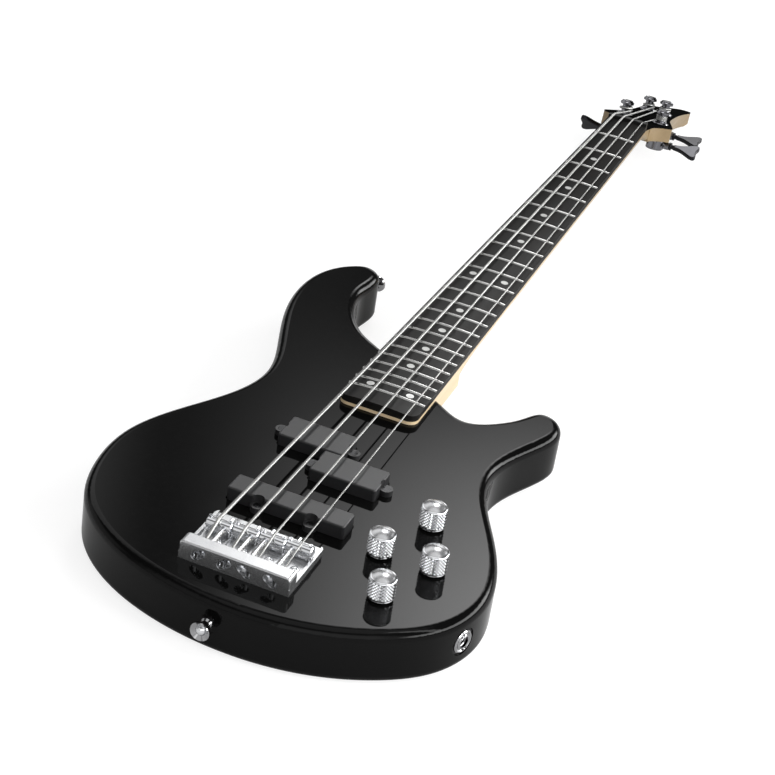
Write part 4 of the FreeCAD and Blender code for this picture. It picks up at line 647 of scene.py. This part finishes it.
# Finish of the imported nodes


def finish_nodes():
    lacquer = gloss_black("body_lacquer", 0.0022, 0.0032, 0.05, {"IOR": 1.22})
    head_black = gloss_black("head_black", 0.0040, 0.0046, 0.4, {"IOR": 1.5, "Specular IOR Level": 0.0})
    chrome = metal("chrome", (0.80, 0.81, 0.83), 0.03, 0.09)
    satin_chrome = metal("satin_chrome", (0.58, 0.585, 0.595), 0.23, 0.27, 0.004, 0.9)
    dark_chrome = metal("dark_chrome", (0.22, 0.22, 0.235), 0.05, 0.11)
    black_chrome = metal("black_chrome", (0.028, 0.028, 0.031), 0.08, 0.16)
    steel = metal("steel", (0.58, 0.57, 0.55), 0.16, 0.32, 0.03)
    nickel = metal("nickel_silver", (0.56, 0.56, 0.55), 0.12, 0.2)
    black_steel = metal("black_steel", (0.05, 0.05, 0.052), 0.2, 0.36, 0.03)
    pot_metal = metal("pot_metal", (0.50, 0.50, 0.49), 0.28, 0.42, 0.03)
    black_plastic = plastic("black_plastic", (0.016, 0.016, 0.017), (0.021, 0.021, 0.022), 0.30, 0.42, 0.06)
    nut_black = plastic("nut_black", (0.011, 0.011, 0.011), (0.017, 0.017, 0.017), 0.28, 0.42, 0.05, 0.08)
    coil = plastic("coil", (0.035, 0.014, 0.007), (0.06, 0.024, 0.01), 0.3, 0.5, 0.2)
    board = plastic("circuit_board", (0.008, 0.06, 0.022), (0.012, 0.085, 0.03), 0.3, 0.45, 0.1)
    case = plastic("battery_case", (0.02, 0.02, 0.024), (0.035, 0.035, 0.04), 0.3, 0.45, 0.08)
    wood = maple("maple")
    inlay = pearl("white_inlay")
    groups = {
        lacquer: ["body"], head_black: ["headstock_overlay"], wood: ["neck"],
        dark_board("dark_board"): ["fingerboard"], nickel: ["frets"], inlay: ["fret_dots"],
        nut_black: ["nut", "truss_rod_cover"], coil: ["pickup_coils"],
        board: ["preamp_board"], case: ["battery"], pot_metal: ["potentiometers"],
        black_plastic: ["control_cover", "split_pickup_covers", "single_pickup_cover"],
        steel: ["truss_rod", "small_screws"], black_steel: ["pickup_screws"], satin_chrome: ["bridge"],
        dark_chrome: ["tuner_housings", "tuner_bushings"] + ["tuner_post_" + n for n in STRING_NAMES],
        black_chrome: ["tuner_key_" + n for n in STRING_NAMES],
    }
    for material, names in groups.items():
        for name in names:
            dress(name, material)
    dressed = [name for names in groups.values() for name in names]
    for name in NODES:
        if name not in dressed:
            dress(name, chrome)
    return chrome, satin_chrome, steel


def dress(name, material):
    mesh = NODES[name].data
    mesh.materials.clear()
    mesh.materials.append(material)


# Stage, light and camera


def studio_panel(tree, azimuth, height, low, high, soft, strength):
    # A soft-edged bright patch of the studio, by compass angle and height of the direction
    def edge(value, start, end):
        made = node(tree, "ShaderNodeMapRange", {"Value": value, "From Min": start, "From Max": end},
                    interpolation_type="SMOOTHSTEP")
        return made.outputs["Result"]

    left = edge(azimuth, math.radians(low[0] - soft[0]), math.radians(low[0] + soft[0]))
    right = edge(azimuth, math.radians(high[0] + soft[0]), math.radians(high[0] - soft[0]))
    under = edge(height, low[1] - soft[1], low[1] + soft[1])
    over = edge(height, high[1] + soft[1], high[1] - soft[1])
    across = maths(tree, "MULTIPLY", left, right)
    upright = maths(tree, "MULTIPLY", under, over)
    return maths(tree, "MULTIPLY", maths(tree, "MULTIPLY", across, upright), strength)


def make_world():
    world = bpy.data.worlds.new("studio")
    bpy.context.scene.world = world
    world.use_nodes = True
    tree = world.node_tree
    tree.nodes.clear()
    coords = node(tree, "ShaderNodeTexCoord")
    parts = node(tree, "ShaderNodeSeparateXYZ", {0: coords.outputs["Generated"]})
    azimuth = maths(tree, "ARCTAN2", parts.outputs["X"], parts.outputs["Y"])
    height = parts.outputs["Z"]
    panels = [studio_panel(tree, azimuth, height, *panel) for panel in PANELS]
    total = panels[0]
    for panel in panels[1:]:
        total = maths(tree, "ADD", total, panel)
    total = maths(tree, "ADD", total, AMBIENT)
    horizon = node(tree, "ShaderNodeMapRange", {"Value": height, "From Min": HORIZON_TOP,
                                                "From Max": HORIZON_FULL})
    white = background_rays(tree, horizon.outputs["Result"])
    seen = node(tree, "ShaderNodeMix", {"Factor": white, "A": total, "B": 1.0})
    back = node(tree, "ShaderNodeBackground", {"Strength": seen.outputs["Result"]})
    back.inputs["Color"].default_value = (1, 1, 1, 1)
    node(tree, "ShaderNodeOutputWorld", {"Surface": back.outputs["Background"]})


def background_rays(tree, share):
    # Rays that show the white background: the camera's, and by the share those off gloss and through glass
    rays = node(tree, "ShaderNodeLightPath")
    total = rays.outputs["Is Camera Ray"]
    for name in ("Is Glossy Ray", "Is Transmission Ray"):
        total = maths(tree, "MAXIMUM", total, maths(tree, "MULTIPLY", rays.outputs[name], share))
    return total


def floor_material():
    material = bpy.data.materials.new("pale_floor")
    material.use_nodes = True
    tree = material.node_tree
    tree.nodes.clear()
    cloud = noise(tree, object_coords(tree, (1, 1, 1)), 4)
    tone = ramp(tree, cloud, [(0.3, (0.42, 0.42, 0.42)), (0.7, (0.45, 0.45, 0.45))])
    matt = node(tree, "ShaderNodeBsdfDiffuse", {"Color": tone})
    glow = node(tree, "ShaderNodeEmission", {"Color": (1, 1, 1, 1), "Strength": FLOOR_GLOW})
    faint = node(tree, "ShaderNodeBsdfDiffuse", {"Color": (FLOOR_FAINT, FLOOR_FAINT, FLOOR_FAINT, 1)})
    lit = node(tree, "ShaderNodeAddShader", {0: glow.outputs[0], 1: faint.outputs[0]})
    white = background_rays(tree, FLOOR_WHITE_SHARE)
    seen = node(tree, "ShaderNodeMixShader", {0: white, 1: matt.outputs[0], 2: lit.outputs[0]})
    node(tree, "ShaderNodeOutputMaterial", {"Surface": seen.outputs[0]})
    return material


def make_floor():
    (y0, z0), (y1, z1) = FLOOR_TOUCH_BUTT, FLOOR_TOUCH_HEAD
    tilt = math.atan2(z1 - z0, y1 - y0)
    half = FLOOR_SIZE / 2
    bm = bmesh.new()
    bm.faces.new([bm.verts.new((x * half, y * half, 0)) for x, y in ((-1, -1), (1, -1), (1, 1), (-1, 1))])
    floor = new_object("floor", bm, floor_material())
    place = Matrix.Translation((0, y0 * MM, z0 * MM - FLOOR_DROP))
    floor.matrix_world = place @ Matrix.Rotation(tilt, 4, "X")


def make_lamp(name, at, aim, size, power):
    data = bpy.data.lights.new(name, "AREA")
    data.shape = "RECTANGLE"
    data.size, data.size_y = size
    data.energy = power
    lamp = bpy.data.objects.new(name, data)
    at = Vector(at)
    lamp.location = at
    lamp.rotation_euler = (Vector(aim) - at).to_track_quat("-Z", "Y").to_euler()
    bpy.context.scene.collection.objects.link(lamp)


def make_camera():
    data = bpy.data.cameras.new("camera")
    data.sensor_fit = "HORIZONTAL"
    data.sensor_width = CAMERA_SENSOR
    data.lens = CAMERA_LENS
    data.clip_start, data.clip_end = CAMERA_CLIP
    camera = bpy.data.objects.new("camera", data)
    back = -CAMERA_VIEW
    up = back.cross(CAMERA_RIGHT)
    turn = Matrix((CAMERA_RIGHT, up, back)).transposed()
    camera.matrix_world = Matrix.Translation(CAMERA_AT) @ turn.to_4x4()
    bpy.context.scene.collection.objects.link(camera)
    bpy.context.scene.camera = camera


chrome, satin_chrome, steel = finish_nodes()
for i in range(len(STRING_NAMES)):
    make_string(i)
    make_spring(i, steel)
for k in range(len(KNOB_NAMES)):
    make_knob(k, chrome, satin_chrome)
make_turned_pieces()
make_floor()
make_world()
make_lamp("key", KEY_AT, KEY_AIM, KEY_SIZE, KEY_WATTS)
make_camera()
bpy.context.scene.view_settings.view_transform = "Standard"
